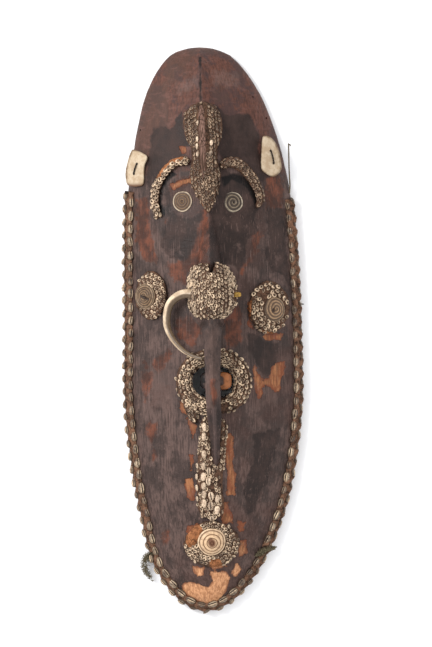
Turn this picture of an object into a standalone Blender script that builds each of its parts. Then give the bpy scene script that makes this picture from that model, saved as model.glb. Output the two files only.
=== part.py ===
"""Carved long-nosed wooden mask set with shells on clay, lying on its back rim.

+X is the wearer's left, +Y runs from chin to crown and +Z points out of the face. The origin is in the
middle of the outline, on the plane that the back rim rests on. The carving is drawn on a grid of units,
LENGTH tall and WIDTH across its widest part, so that it grows with the mask.
"""

import math

import bmesh
import bpy
from mathutils import Vector

MM = 0.001

# The wooden mask.
LENGTH = 843 * MM
WIDTH = 260 * MM
FACE_DEPTH = 88 * MM
RIM_WIDTH = 12 * MM
RIM_HEIGHT = 8 * MM
WALL = 13 * MM
KEEL_RISE = 7 * MM
EYE_HOLLOW = 6 * MM
NOSE_RISE = 44 * MM
LASHING_HOLE = 3.2 * MM

# The clay and what is set in it.
GAP = 0.3 * MM
SUNK = 5 * MM
NARROW_SPINE = 6 * MM
CREST_THICKNESS = 15 * MM
BROW_THICKNESS = 8 * MM
NOSE_PAD_THICKNESS = 8 * MM
MOUTH_RING_THICKNESS = 10 * MM
CHEEK_PAD_THICKNESS = 8 * MM
BEARD_THICKNESS = 8 * MM
CHIN_PAD_THICKNESS = 9 * MM
BAND_WIDTH = 10 * MM
BAND_THICKNESS = 4.5 * MM
BAND_FOOT = 3.5 * MM
COWRIE_PITCH = 19.5 * MM
COWRIE_RISE = 4 * MM
EYE_DISC_RADIUS = 15.5 * MM
EYE_DISC_THICKNESS = 4 * MM
CHEEK_DISC_RADIUS = 19 * MM
CHEEK_DISC_THICKNESS = 7 * MM
CHIN_DISC_RADIUS = 21 * MM
CHIN_DISC_THICKNESS = 13 * MM
TUSK_RADIUS = 7.2 * MM
TUSK_LIFT = 21 * MM
TUSK_SAG = 5 * MM
PEG_RADIUS = 4 * MM
PEG_LIFT = 20 * MM
PLAQUE_THICKNESS = 3.2 * MM
THREAD_RADIUS = 0.9 * MM
THREAD_HOLE = 2.2 * MM
STEM_RADIUS = 1.1 * MM
STEM_STEP = 3 * MM
TUFT_SIZE = 10 * MM

SHARP_EDGE = math.radians(40)
MERGE_DISTANCE = 0.02 * MM

# The grid of the carving. (height on the grid, half the width there), from chin to crown.
HALF_WIDTHS = (
    (-279, 0), (-254, 39), (-230, 54), (-206, 63), (-146, 78), (-74, 86.5), (-26, 86.75),
    (118, 83), (178, 74), (226, 61), (250, 49.5), (274, 30.5), (283, 0),
)
CHIN = HALF_WIDTHS[0][0]
CROWN = HALF_WIDTHS[-1][0]
UNITS_TALL = CROWN - CHIN
UNITS_WIDE = 2 * max(half for _, half in HALF_WIDTHS)
UX = WIDTH / UNITS_WIDE
UY = LENGTH / UNITS_TALL

# (height on the grid, how far the middle of the mask leans from the straight line).
LEAN = (
    (CHIN, -7), (-230, -5), (-182, -0.75), (-74, 0.5), (22, -0.5), (118, -3.5), (178, -5.5),
    (226, -9), (CROWN, -14),
)
# (height on the grid, middle of the nose line).
NOSE_LINE = ((-150, 2.5), (-100, 2), (-60, 0), (-10, -0.5), (45, -3), (73, -3.5), (120, -4), (273, -12))

# (height, half width, ridge above the face, sides above the face, underside above the face).
# Ridge, sides and underside are shares of NOSE_RISE. An underside of None is sunk in the face.
SUNK_SHARE = -0.02
NOSE = (
    (-152, 2.4, -0.04, -0.05, None),
    (-140, 3.4, 0.12, 0.02, None),
    (-126, 4.2, 0.3, 0.16, None),
    (-104, 5.2, 0.45, 0.3, None),
    (-88, 7.0, 0.62, 0.46, 0.16),
    (-64, 7.4, 0.74, 0.58, 0.31),
    (-30, 7.8, 0.86, 0.68, 0.42),
    (-4, 9.2, 0.98, 0.76, 0.52),
    (2, 10.2, 1.02, 0.72, 0.5),
    (9, 14.0, 1.06, 0.12, None),
    (26, 17.5, 1.08, -0.02, None),
    (46, 16.5, 0.95, -0.05, None),
    (73, 12.5, 0.66, -0.05, None),
    (95, 8.2, 0.38, -0.05, None),
    (117, 4.0, 0.12, -0.05, None),
    (127, 2.6, -0.05, -0.06, None),
)

MOUTH = (1, -51.5, 21.5, 16.0)
TONGUE = (3.0, -50.5, 15.5, 9.0)
EYES = {"left": (-30, 128), "right": (19.7, 127)}
CHEEKS = {"left": (-68, 33.5), "right": (61.7, 21)}
CHIN_DISC_AT = (-1.3, -211)

# Places along a spine of each clay shape: (x, y, half width), on the grid.
CREST = (
    (-12, 227, 3), (-11.5, 224, 12), (-11, 215, 19), (-10, 203, 19.5), (-9, 192, 18.5), (-8.6, 182, 13.5),
    (-8.3, 170, 13), (-8, 158, 15), (-7.5, 150, 15.5), (-6.5, 140, 13), (-5.5, 129, 8), (-4.5, 117, 1.5),
)
BROW_LEFT = (
    (-24.5, 168, 2.5), (-27, 168.5, 4.5), (-38, 167, 4.6), (-49, 157, 4.6), (-56.5, 143, 4.6),
    (-58.5, 128, 4.6), (-56, 116, 4), (-54.5, 112, 1.5),
)
BROW_RIGHT = (
    (8.6, 162.5, 2.5), (10.5, 164.2, 4.8), (18, 168.3, 6), (29, 163, 6), (38, 153, 5.6), (45, 141, 4.8),
    (47.5, 131, 4), (45.5, 124, 3), (44, 121, 1),
)
NOSE_PAD = (
    (-3, 67, 7), (-3, 64, 17), (-2.5, 57, 21), (-1, 45, 25), (-0.5, 31, 25.3), (-1.5, 20, 20.5),
    (-2, 13.5, 15), (-2, 10.5, 8),
)
NOSE_NOTCH = (-1.5, 69, 5.6, 17)
MOUTH_RING = (
    (0, -26.5, 8.5), (16, -29, 8.5), (27, -40, 8.2), (30, -54, 8.2), (24, -69, 8.5), (9, -75.5, 7.5),
    (-8, -76, 8.5), (-22, -69, 9), (-29, -55, 8.2), (-26.5, -40, 8), (-15, -29.5, 8),
)
MOUTH_TAIL = ((-24, -62, 4), (-23, -72, 7.5), (-20.5, -82, 6), (-19, -89, 4), (-18.5, -93, 1.5))
BEARD = (
    (1.5, -87, 8), (1, -90, 13), (0.5, -100, 13.5), (-1, -118, 13.8), (-2.5, -135, 13.5),
    (-3.5, -155, 13), (-2.5, -170, 13.5), (-1, -183, 12.5), (-1, -187.5, 7),
)
CHEEK_PAD_SIZE = {"left": (-62, 34.5, 15.8, 25.5), "right": (56, 22.5, 20.5, 27.5)}
CHIN_PAD_SIZE = (-1, -213.5, 28, 24)
TUSK = (
    (-20, 35.5), (-27, 36), (-35.5, 33), (-42.5, 26), (-45.6, 15.5), (-45.4, 4), (-41.5, -6), (-35, -15),
    (-27, -22), (-18, -26.5), (-10.5, -28),
)
BAND_ENDS = {"left": 139, "right": 134}
PLAQUES = {
    "left": (
        (-76, 143), (-69, 146), (-68, 163), (-65.5, 173.5), (-78, 180), (-82, 177), (-86.5, 161),
        (-86.5, 150), (-84, 144.5),
    ),
    "right": (
        (54, 155), (48, 161), (48, 178), (49, 191), (51.5, 194), (58, 191.5), (64, 183), (68, 165),
        (66.5, 158), (60, 153),
    ),
}
THREADS = {"left": ((-75, 166), (-78, 156)), "right": ((56.5, 179), (59.5, 166.5))}
LASHING_HOLES = ((40, 233), (53.5, 212), (-68, 227), (-72.5, 200))
STEM = ((76.5, 137), (76.8, 153), (75.4, 183), (76.6, 185.5), (77.3, 184))
# (x and y on the grid, height and radius as shares of TUFT_SIZE) along each tuft.
TUFTS = {
    "left": (
        (-58, -224, 1.2, 0.4), (-66, -227, 1.1, 0.7), (-69, -235, 1, 0.75), (-66, -244, 0.9, 0.55),
        (-59.5, -252, 0.8, 0.2),
    ),
    "right": (
        (42, -226, 2.7, 0.2), (47, -223, 2.5, 0.5), (53, -220, 2, 0.55), (60, -218, 1.5, 0.4),
        (64, -217, 1.3, 0.15),
    ),
}
# (x and y on the grid, how far it reaches to the right).
NOSE_PEG = (20, 35.3, 8)
PLAQUE_LEAN = math.radians(30)


def material(name, colour, roughness):
    made = bpy.data.materials.new(name)
    made.use_nodes = True
    shader = made.node_tree.nodes["Principled BSDF"]
    shader.inputs["Base Color"].default_value = (*colour, 1)
    shader.inputs["Roughness"].default_value = roughness
    shader.inputs["Metallic"].default_value = 0
    return made


def through(stations, at):
    """The smooth value at a place, through (place, value) stations in rising order of place."""
    places = [s[0] for s in stations]
    values = [s[1] for s in stations]
    at = min(max(at, places[0]), places[-1])
    i = min(max(sum(p <= at for p in places) - 1, 0), len(places) - 2)

    def slope(k):
        low, high = max(k - 1, 0), min(k + 1, len(places) - 1)
        return (values[high] - values[low]) / (places[high] - places[low])

    step = places[i + 1] - places[i]
    t = (at - places[i]) / step
    rise = values[i + 1] - values[i]
    start, end = slope(i) * step, slope(i + 1) * step
    return values[i] + t * start + t * t * (3 * rise - 2 * start - end) + t**3 * (start + end - 2 * rise)


def smooth_path(points, count):
    """Points spread evenly in count along a smooth curve through tuples of any length."""
    stations = list(enumerate(points))
    width = len(points[0])
    found = []
    for i in range(count):
        at = i * (len(points) - 1) / (count - 1)
        found.append(tuple(through([(k, p[c]) for k, p in stations], at) for c in range(width)))
    return found


SQUARED_WIDTHS = tuple((y, half * half) for y, half in HALF_WIDTHS)


def half_width(v):
    """Half the width of the mask, in metres, at a height on the grid."""
    return math.sqrt(max(through(SQUARED_WIDTHS, v), 0)) * UX


def middle(v):
    return through(LEAN, v) * UX


def depth_at(v):
    """How far the face stands above the rim's side, along its middle."""
    share = abs(2 * (v - (CROWN + CHIN) / 2) / UNITS_TALL)
    return (FACE_DEPTH - RIM_HEIGHT) * max(1 - share**2.6, 0) ** 0.6


def bow(u):
    """The section across the face, from 1 in the middle to 0 at the sides."""
    return max(1 - abs(u) ** 1.5, 0) ** 0.75


def carving(x, y):
    """The keel of the crown and the hollows of the eyes, in metres above the plain bow."""
    v = y / UY
    off_keel = abs(x - through(NOSE_LINE, v) * UX) / (9 * UX)
    fade = min(max((v - 120) / 60, 0), 1) * min(max((CROWN - v) / 16, 0), 1)
    rise = KEEL_RISE * max(1 - off_keel, 0) * fade
    for eye_x, eye_y in EYES.values():
        away = ((x / UX - eye_x) / 17) ** 2 + ((v - eye_y) / 22) ** 2
        rise -= EYE_HOLLOW * math.exp(-away * 1.5)
    return rise


def face_height(x, y):
    v = y / UY
    u = (x - middle(v)) / max(half_width(v), 1 * MM)
    height = RIM_HEIGHT + depth_at(v) * bow(u)
    return height + carving(x, y) * min(1, 4 * bow(u))


def nose_section(v):
    """(middle, half width, ridge, side, underside) of the nose and bar, in metres."""
    rows = [tuple(SUNK_SHARE if share is None else share for share in row) for row in NOSE]
    half, ridge, side, under = (through([(row[0], row[k]) for row in rows], v) for k in (1, 2, 3, 4))
    x, half = through(NOSE_LINE, v) * UX, half * UX
    ground = min(face_height(x - half, v * UY), face_height(x + half, v * UY))
    bottom = ground + under * NOSE_RISE if under > 0.05 else ground - 0.8 * SUNK
    return x, half, face_height(x, v * UY) + ridge * NOSE_RISE, ground + side * NOSE_RISE, bottom


def face_normal(x, y):
    step = 2 * MM
    slope_x = (face_height(x + step, y) - face_height(x - step, y)) / (2 * step)
    slope_y = (face_height(x, y + step) - face_height(x, y - step)) / (2 * step)
    return Vector((-slope_x, -slope_y, 1)).normalized()


def new_object(name, mesh, finish=None):
    made = bpy.data.objects.new(name, mesh)
    bpy.context.collection.objects.link(made)
    if finish:
        mesh.materials.append(finish)
    else:
        made.hide_render = True
        made.display_type = "WIRE"
    return made


def lofts(name, groups, finish=None, closed=False):
    """An object of one body for each list of rings of points, with equal counts of points.

    closed joins the last ring to the first, where otherwise both are filled.
    """
    mesh = bmesh.new()
    for rings in groups:
        rows = [[mesh.verts.new(p) for p in ring] for ring in rings]
        following = rows[1:] + rows[:1] if closed else rows[1:]
        for low, high in zip(rows, following):
            for k in range(len(low)):
                after = (k + 1) % len(low)
                mesh.faces.new((low[k], low[after], high[after]))
                mesh.faces.new((low[k], high[after], high[k]))
        if not closed:
            mesh.faces.new(list(reversed(rows[0])))
            mesh.faces.new(rows[-1])
    bmesh.ops.remove_doubles(mesh, verts=mesh.verts, dist=MERGE_DISTANCE)
    bmesh.ops.dissolve_degenerate(mesh, edges=mesh.edges, dist=MERGE_DISTANCE / 2)
    bmesh.ops.recalc_face_normals(mesh, faces=mesh.faces)
    data = bpy.data.meshes.new(name)
    mesh.to_mesh(data)
    mesh.free()
    data.shade_smooth()
    data.set_sharp_from_angle(angle=SHARP_EDGE)
    return new_object(name, data, finish)


def boolean(made, other, operation):
    added = made.modifiers.new(f"{operation.title()} {other.name}", "BOOLEAN")
    added.operation = operation
    added.object = other
    added.solver = "EXACT"
    return made


def cut(made, *cutters):
    for cutter in cutters:
        boolean(made, cutter, "DIFFERENCE")
    return made


def rows_along():
    """Heights on the grid of the mask's rows, close together at the two round ends."""
    ends = (0, 0.9, 3.2, 7.5, 14, 23)
    count = 33
    low, high = CHIN + ends[-1], CROWN - ends[-1]
    between = [low + (high - low) * i / count for i in range(1, count)]
    return [CHIN + e for e in ends] + between + [CROWN - e for e in reversed(ends)]


def columns_across(count=18):
    found = []
    for i in range(count + 1):
        t = 2 * i / count - 1
        found.append(0.45 * t + 0.55 * math.sin(math.pi * t / 2))
    return found


def outer_rings(outset, floor):
    """Sections of the mask's outside, moved out by outset and closed below at floor."""
    rings = []
    for v in rows_along():
        y = v * UY
        along = outset * (1 if v > 0 else -1) * abs(2 * v / UNITS_TALL) ** 8
        ring = [(middle(v) - half_width(v) - outset, y + along, floor)]
        for u in columns_across():
            x = middle(v) + u * half_width(v)
            lift = outset * 1.3 * (1 - u**8)
            ring.append((x + outset * u, y + along, face_height(x, y) + lift))
        ring.append((middle(v) + half_width(v) + outset, y + along, floor))
        rings.append(ring)
    return rings


def cavity_rings():
    """Sections of the hollow back, WALL under the face and RIM_WIDTH in from the sides."""
    rings = []
    count = 16
    shrink = (LENGTH - 2 * RIM_WIDTH) / LENGTH
    for i in range(count + 1):
        v = (CHIN + CROWN) / 2 - UNITS_TALL / 2 * shrink * math.cos(math.pi * i / count)
        outer_v = (CHIN + CROWN) / 2 + (v - (CHIN + CROWN) / 2) / shrink
        half = max(half_width(outer_v) - RIM_WIDTH * half_width(outer_v) / (WIDTH / 2), 0)
        half = max(min(half, half_width(v) - RIM_WIDTH), 0)
        top = depth_at(outer_v) + RIM_HEIGHT - WALL
        ring = [(middle(v) - half, v * UY, -10 * MM)]
        for u in columns_across(10):
            ring.append((middle(v) + u * half, v * UY, min(top, 0) + max(top, 0) * bow(u)))
        ring.append((middle(v) + half, v * UY, -10 * MM))
        rings.append(ring)
    return rings


def nose_rings(outset=0):
    rings = []
    heights = [row[0] for row in NOSE]
    places = [heights[0] - outset / UY]
    for low, high in zip(heights, heights[1:]):
        places += [low + (high - low) * k / 2 for k in (0, 1)]
    places = places[0:1] + places[2:] + [heights[-1] + outset / UY]
    for v in places:
        x, half, ridge, side, under = nose_section(v)
        half += outset
        ring = []
        for share in (-1, -0.55, -0.18, 0.18, 0.55, 1):
            drop = (ridge - side) * abs(share) ** 1.15
            ring.append((x + share * half, v * UY, ridge - drop + 1.3 * outset))
        ring += [(x + 0.85 * half, v * UY, under - outset), (x - 0.85 * half, v * UY, under - outset)]
        rings.append(ring)
    return rings


def oval_rings(x, y, half_x, half_y, low, high, sides=20, squareness=2.3):
    rings = []
    for z in (low, high):
        ring = []
        for k in range(sides):
            angle = 2 * math.pi * k / sides
            cos, sin = math.cos(angle), math.sin(angle)
            reach = (abs(cos) ** squareness + abs(sin) ** squareness) ** (-1 / squareness)
            ring.append((x + half_x * reach * cos, y + half_y * reach * sin, z))
        rings.append(ring)
    return rings


def turned_rings(place, turn, profile, sides=14):
    """Rings of a turned piece: profile holds (radius, height above the place)."""
    rings = []
    for radius, height in profile:
        ring = []
        for k in range(sides):
            angle = 2 * math.pi * k / sides
            ring.append(place + turn @ Vector((radius * math.cos(angle), radius * math.sin(angle), height)))
        rings.append(ring)
    return rings


def drill_rings(x, y, radius, length):
    """A round cutter square to the face, centred on it."""
    place = Vector((x, y, face_height(x, y)))
    turn = face_normal(x, y).to_track_quat("Z", "Y")
    return turned_rings(place, turn, ((radius, -length / 2), (radius, length / 2)), 6)


def spine_rings(spine, thickness, closed=False, across=6):
    """Arched sections along a spine of (x, y, half width) on the grid, sunk under the face."""
    points = [Vector((x * UX, y * UY)) for x, y, _ in spine]
    rings = []
    for i, (_, _, half) in enumerate(spine):
        before = points[i - 1] if i or closed else points[0]
        after = points[(i + 1) % len(points)] if i < len(points) - 1 or closed else points[-1]
        along = (after - before).normalized()
        side = Vector((-along.y, along.x))
        half *= UX
        ring = []
        for k in range(across + 1):
            share = 2 * k / across - 1
            place = points[i] + side * half * share
            arch = 0.3 + 0.7 * math.sqrt(max(1 - share**4, 0))
            if not closed:
                arch *= min(1, 0.45 + 0.55 * half / NARROW_SPINE)
            ring.append((place.x, place.y, face_height(place.x, place.y) + thickness * arch))
        for share in (0.92, 0, -0.92):
            place = points[i] + side * half * share
            ring.append((place.x, place.y, face_height(place.x, place.y) - SUNK))
        rings.append(ring)
    return rings


def nose_pad_rings():
    """Clay over the tip and wings of the nose, swelling from the face over the ridge."""
    ridge = [(row[0], row[2] * NOSE_RISE) for row in NOSE]
    rings = []
    for x, v, half in smooth_path(NOSE_PAD, 9):
        ring = []
        for k in range(9):
            share = k / 4 - 1
            place = ((x + half * share) * UX, v * UY)
            end = min(1, 0.6 + 0.4 * half / 20)
            swell = (1 - 0.92 * abs(share) ** 2.4) ** 0.6 * end
            ring.append((*place, face_height(*place) + (through(ridge, v) + NOSE_PAD_THICKNESS) * swell))
        for share in (0.9, -0.9):
            place = ((x + half * share) * UX, v * UY)
            ring.append((*place, face_height(*place) - SUNK))
        rings.append(ring)
    return rings


def mound_rings(x, y, half_x, half_y, thickness, sides=14, wobble=0.05):
    """A low round heap of clay: rings from its sunk underside to its top."""
    rings = []
    for share, lift in ((0.94, None), (1, 0.35), (0.93, 0.8), (0.7, 1), (0.3, 1)):
        ring = []
        for k in range(sides):
            angle = 2 * math.pi * k / sides
            reach = share * (1 + wobble * math.sin(3 * angle + 1) * math.cos(angle))
            at_x = (x + half_x * reach * math.cos(angle)) * UX
            at_y = (y + half_y * reach * math.sin(angle)) * UY
            low = face_height(at_x, at_y)
            ring.append((at_x, at_y, low - SUNK if lift is None else low + thickness * lift))
        rings.append(ring)
    return rings


def disc_seat(name, at, radius, thickness, lift):
    """The cutter of the seat of a shell disc that lies lift above the face."""
    x, y = at[0] * UX, at[1] * UY
    turn = face_normal(x, y).to_track_quat("Z", "Y")
    place = Vector((x, y, face_height(x, y) + lift))
    profile = ((radius + GAP, -0.3 * thickness - GAP), (radius + GAP, 3 * thickness + SUNK))
    return lofts(name, [turned_rings(place, turn, profile)])


def disc(name, at, radius, thickness, finish, lift=0, proud=0, domed=False):
    """A shell disc along the slope of the face, lift above it and proud of that by its normal."""
    x, y = at[0] * UX, at[1] * UY
    normal = face_normal(x, y)
    turn = normal.to_track_quat("Z", "Y")
    place = Vector((x, y, face_height(x, y) + lift)) + normal * proud
    if domed:
        profile = [(radius * 0.96, -0.3 * thickness), (radius, 0), (radius * 0.95, 0.25 * thickness)]
        for k in range(1, 4):
            edge = radius * (1 - 0.22 * k)
            profile += [(edge + 0.1 * radius, thickness * (0.1 + 0.28 * k))]
            profile += [(edge, thickness * (0.16 + 0.24 * k))]
        profile += [(0.16 * radius, 0.6 * thickness)]
    else:
        profile = [
            (radius * 0.96, -0.3 * thickness), (radius, 0.5 * thickness), (radius * 0.86, 0.72 * thickness),
            (radius * 0.76, 0.5 * thickness), (radius * 0.5, 0.9 * thickness),
            (radius * 0.2, 0.9 * thickness), (radius * 0.1, 0.5 * thickness),
        ]
    return lofts(name, [turned_rings(place, turn, profile)], finish)


def tube_rings(points, radii, sides=8):
    """Round sections along a path in space."""
    points = [Vector(p) for p in points]
    rings = []
    upright = Vector((0, 0, 1))
    for i, (point, radius) in enumerate(zip(points, radii)):
        along = (points[min(i + 1, len(points) - 1)] - points[max(i - 1, 0)]).normalized()
        side = along.cross(upright)
        side = side.normalized() if side.length > 1e-6 else Vector((1, 0, 0))
        up = side.cross(along).normalized()
        ring = []
        for k in range(sides):
            angle = 2 * math.pi * k / sides
            ring.append(point + (side * math.cos(angle) + up * math.sin(angle)) * radius)
        rings.append(ring)
    return rings


def even_steps(points, count):
    """Points along a path of straight pieces, count even steps from its start to its end."""
    lengths = [0.0]
    for before, after in zip(points, points[1:]):
        lengths.append(lengths[-1] + (after - before).length)
    found = []
    for i in range(count + 1):
        at = lengths[-1] * i / count
        k = min(max(sum(length <= at for length in lengths) - 1, 0), len(points) - 2)
        share = (at - lengths[k]) / (lengths[k + 1] - lengths[k])
        found.append(points[k].lerp(points[k + 1], share))
    return found, lengths[-1]


def outline_walk():
    """(point, inward direction) round the mask's edge under the chin, two for each cowrie."""
    heights = rows_along()
    fine = []
    for low, high in zip(heights, heights[1:]):
        fine += [low + (high - low) * k / 4 for k in range(4)]
    edge = [Vector((middle(v) - half_width(v), v * UY)) for v in reversed(fine) if v < BAND_ENDS["left"]]
    edge += [Vector((middle(v) + half_width(v), v * UY)) for v in fine if v < BAND_ENDS["right"]]
    _, length = even_steps(edge, 1)
    walk, _ = even_steps(edge, 2 * round(length / COWRIE_PITCH))
    found = []
    for i, point in enumerate(walk):
        along = (walk[min(i + 2, len(walk) - 1)] - walk[max(i - 2, 0)]).normalized()
        found.append((point, Vector((-along.y, along.x))))
    return found


def band_point(edge, inward, share, lift):
    """A point share of BAND_WIDTH in from the edge, and lift off the face or, near the edge, off the side."""
    place = edge + inward * share * BAND_WIDTH
    out = face_normal(place.x, place.y)
    if share < 0.3:
        out = Vector((-inward.x, -inward.y, 0.55)).normalized()
    return Vector((place.x, place.y, face_height(place.x, place.y))) + out * lift


def band_rings():
    """The clay band and its two staggered rows of cowries, two sections for each cowrie."""
    rings = []
    for i, (edge, inward) in enumerate(outline_walk()):
        outer = COWRIE_RISE * (i % 2)
        inner = COWRIE_RISE * ((i + 1) % 2)
        foot = Vector((edge.x, edge.y, BAND_FOOT))
        side = Vector((edge.x, edge.y, RIM_HEIGHT))
        into = Vector((inward.x, inward.y, 0))
        rings.append([
            foot - into * BAND_THICKNESS * 0.5,
            side - into * (BAND_THICKNESS * 0.6 + outer * 0.8),
            band_point(edge, inward, 0.22, BAND_THICKNESS + outer),
            band_point(edge, inward, 0.42, BAND_THICKNESS * 0.8),
            band_point(edge, inward, 0.7, BAND_THICKNESS + inner),
            band_point(edge, inward, 1, BAND_THICKNESS * 0.18),
            band_point(edge, inward, 0.9, -SUNK),
            foot + into * SUNK,
        ])
    return rings


def wood_parts(finish):
    mask = lofts("mask_wood", [outer_rings(0, 0)], finish)
    hollow = lofts("hollow_back", [cavity_rings()])
    x, y, half_x, half_y = MOUTH
    hole = oval_rings(x * UX, y * UY, half_x * UX, half_y * UY, -RIM_WIDTH, 2 * FACE_DEPTH)
    mouth = lofts("mouth_hole", [hole])
    nose = lofts("nose_and_bar", [nose_rings()])
    x, y, half_x, half_y = TONGUE
    low = face_height(x * UX, y * UY) - WALL
    high = nose_section(y)[4] + SUNK / 2
    block = oval_rings(x * UX, y * UY, half_x * UX, half_y * UY, low, high, 10, 4)
    tongue = lofts("tongue", [block])
    drills = [drill_rings(x * UX, y * UY, LASHING_HOLE / 2, 4 * WALL) for x, y in LASHING_HOLES]
    holes = lofts("lashing_holes", drills)
    cut(mask, hollow, mouth)
    boolean(mask, nose, "UNION")
    boolean(mask, tongue, "UNION")
    cut(mask, holes)


def strip_parts(clay, face_cutter, nose_cutter):
    """The clay strips of the forehead, the brows and the beard."""
    crest = lofts("forehead_crest", [spine_rings(smooth_path(CREST, 14), CREST_THICKNESS)], clay)
    cut(crest, nose_cutter, face_cutter)
    for side, spine in {"left": BROW_LEFT, "right": BROW_RIGHT}.items():
        rings = spine_rings(smooth_path(spine, 11), BROW_THICKNESS, across=4)
        cut(lofts(f"brow_{side}", [rings], clay), face_cutter)
    beard = lofts("beard_strip", [spine_rings(smooth_path(BEARD, 11), BEARD_THICKNESS)], clay)
    cut(beard, nose_cutter, face_cutter)


def nose_pad_part(clay, face_cutter, nose_cutter, sockets):
    pad = cut(lofts("nose_pad", [nose_pad_rings()], clay), nose_cutter, face_cutter)
    x, y, half, tall = NOSE_NOTCH
    corners = ((x - half, y + half), (x + half, y + half), (x, y - tall))
    notch = [[(at_x * UX, at_y * UY, z) for at_x, at_y in corners] for z in (0, 3 * FACE_DEPTH)]
    cut(pad, lofts("nose_pad_notch", [notch]), *sockets)


def mouth_ring_part(clay, face_cutter, nose_cutter):
    spine = smooth_path(MOUTH_RING + MOUTH_RING[:1], 21)[:-1]
    rings = spine_rings(spine, MOUTH_RING_THICKNESS, closed=True, across=4)
    ring = lofts("mouth_ring", [rings], clay, closed=True)
    tail = spine_rings(smooth_path(MOUTH_TAIL, 7), MOUTH_RING_THICKNESS * 0.85, across=4)
    boolean(ring, lofts("mouth_ring_tail", [tail]), "UNION")
    cut(ring, nose_cutter, face_cutter)


def cheek_and_chin_parts(finishes, face_cutter):
    clay = finishes["clay"]
    shells = {"left": finishes["brown_shell"], "right": finishes["tan_shell"]}
    for side, (x, y, half_x, half_y) in CHEEK_PAD_SIZE.items():
        size = (CHEEKS[side], CHEEK_DISC_RADIUS, CHEEK_DISC_THICKNESS)
        pad = lofts(f"cheek_pad_{side}", [mound_rings(x, y, half_x, half_y, CHEEK_PAD_THICKNESS)], clay)
        disc(f"cheek_disc_{side}", *size, shells[side], CHEEK_PAD_THICKNESS)
        cut(pad, face_cutter, disc_seat(f"cheek_seat_{side}", *size, CHEEK_PAD_THICKNESS))
    size = (CHIN_DISC_AT, CHIN_DISC_RADIUS, CHIN_DISC_THICKNESS)
    pad = lofts("chin_pad", [mound_rings(*CHIN_PAD_SIZE, CHIN_PAD_THICKNESS)], clay)
    disc("chin_disc", *size, finishes["pale_shell"], CHIN_PAD_THICKNESS, domed=True)
    cut(pad, face_cutter, disc_seat("chin_seat", *size, CHIN_PAD_THICKNESS))


def eye_parts(finishes, face_cutter):
    shells = {"left": finishes["cream_shell"], "right": finishes["grey_shell"]}
    proud = 0.45 * EYE_DISC_THICKNESS + GAP
    for side, at in EYES.items():
        made = disc(f"eye_disc_{side}", at, EYE_DISC_RADIUS, EYE_DISC_THICKNESS, shells[side], proud=proud)
        cut(made, face_cutter)


def tusk_and_peg(finishes):
    """The tusk from the left wing of the nose to the bar and the peg on the right, with their sockets."""
    count = 17
    path = smooth_path(TUSK, count)
    points = []
    radii = []
    for i, (x, y) in enumerate(path):
        share = i / (count - 1)
        lift = TUSK_LIFT + TUSK_SAG * (share - math.sin(math.pi * share))
        points.append(Vector((x * UX, y * UY, face_height(x * UX, y * UY) + lift)))
        radii.append(TUSK_RADIUS * (1 - 0.78 * share**1.6))
    lofts("boar_tusk", [tube_rings(points, radii)], finishes["ivory"])
    behind = points[0] + (points[0] - points[1]).normalized() * GAP
    wider = [radius + 2 * GAP for radius in radii[:6]]
    tusk_socket = lofts("tusk_socket", [tube_rings([behind] + points[1:6], wider)])

    x, y, reach = NOSE_PEG
    root = Vector((x * UX, y * UY, face_height(x * UX, y * UY) + PEG_LIFT))
    tip = root + Vector((reach * UX, 0, -PEG_RADIUS / 2))
    lofts("nose_peg", [tube_rings([root, tip], [PEG_RADIUS, PEG_RADIUS * 0.8])], finishes["peg"])
    root.x -= GAP
    peg_socket = lofts("peg_socket", [tube_rings([root, tip], [PEG_RADIUS + GAP] * 2)])
    return tusk_socket, peg_socket


def plaque_parts(finishes):
    """The two shell plates at the temples, each with two holes and a stitch of thread."""
    for side, outline in PLAQUES.items():
        x = sum(p[0] for p in outline) / len(outline) * UX
        y = sum(p[1] for p in outline) / len(outline) * UY
        lean = PLAQUE_LEAN if side == "right" else -PLAQUE_LEAN
        slope = math.tan(lean)
        up = Vector((math.sin(lean), 0, math.cos(lean)))
        flat = [(p[0] * UX, p[1] * UY) for p in outline]
        rest = 0
        for px, py in flat:
            for share in (0, 0.25, 0.5, 0.75, 1):
                at_x, at_y = x + (px - x) * share, y + (py - y) * share
                if abs(at_x - middle(at_y / UY)) < half_width(at_y / UY):
                    rest = max(rest, face_height(at_x, at_y) + slope * (at_x - x))
        rest += 2 * GAP

        def plate(px, py, lift):
            return Vector((px, py, rest - slope * (px - x))) + up * lift

        inset = [(x + (px - x) * 0.93, y + (py - y) * 0.95) for px, py in flat]
        rings = []
        for edge, share in ((inset, 0), (flat, 0.35), (flat, 0.65), (inset, 1)):
            rings.append([plate(px, py, PLAQUE_THICKNESS * share) for px, py in edge])
        made = lofts(f"ear_plaque_{side}", [rings], finishes["plaque"])
        first, last = [(px * UX, py * UY) for px, py in THREADS[side]]
        bore = ((THREAD_HOLE, -PLAQUE_THICKNESS), (THREAD_HOLE, 2 * PLAQUE_THICKNESS))
        turn = up.to_track_quat("Z", "Y")
        drills = [turned_rings(plate(*end, 0), turn, bore, 8) for end in (first, last)]
        cut(made, lofts(f"thread_holes_{side}", drills))
        low = THREAD_RADIUS * 0.45
        high = PLAQUE_THICKNESS + THREAD_RADIUS * 1.5
        between = low + (high - low) * 0.6
        halfway = [(a + b) / 2 for a, b in zip(first, last)]
        stitch = (
            (first, low), (first, between), (first, high), (halfway, high + THREAD_RADIUS), (last, high),
            (last, between), (last, low),
        )
        route = [plate(*end, lift) for end, lift in stitch]
        lofts(f"ear_thread_{side}", [tube_rings(route, [THREAD_RADIUS] * len(route), 6)], finishes["thread"])


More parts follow.
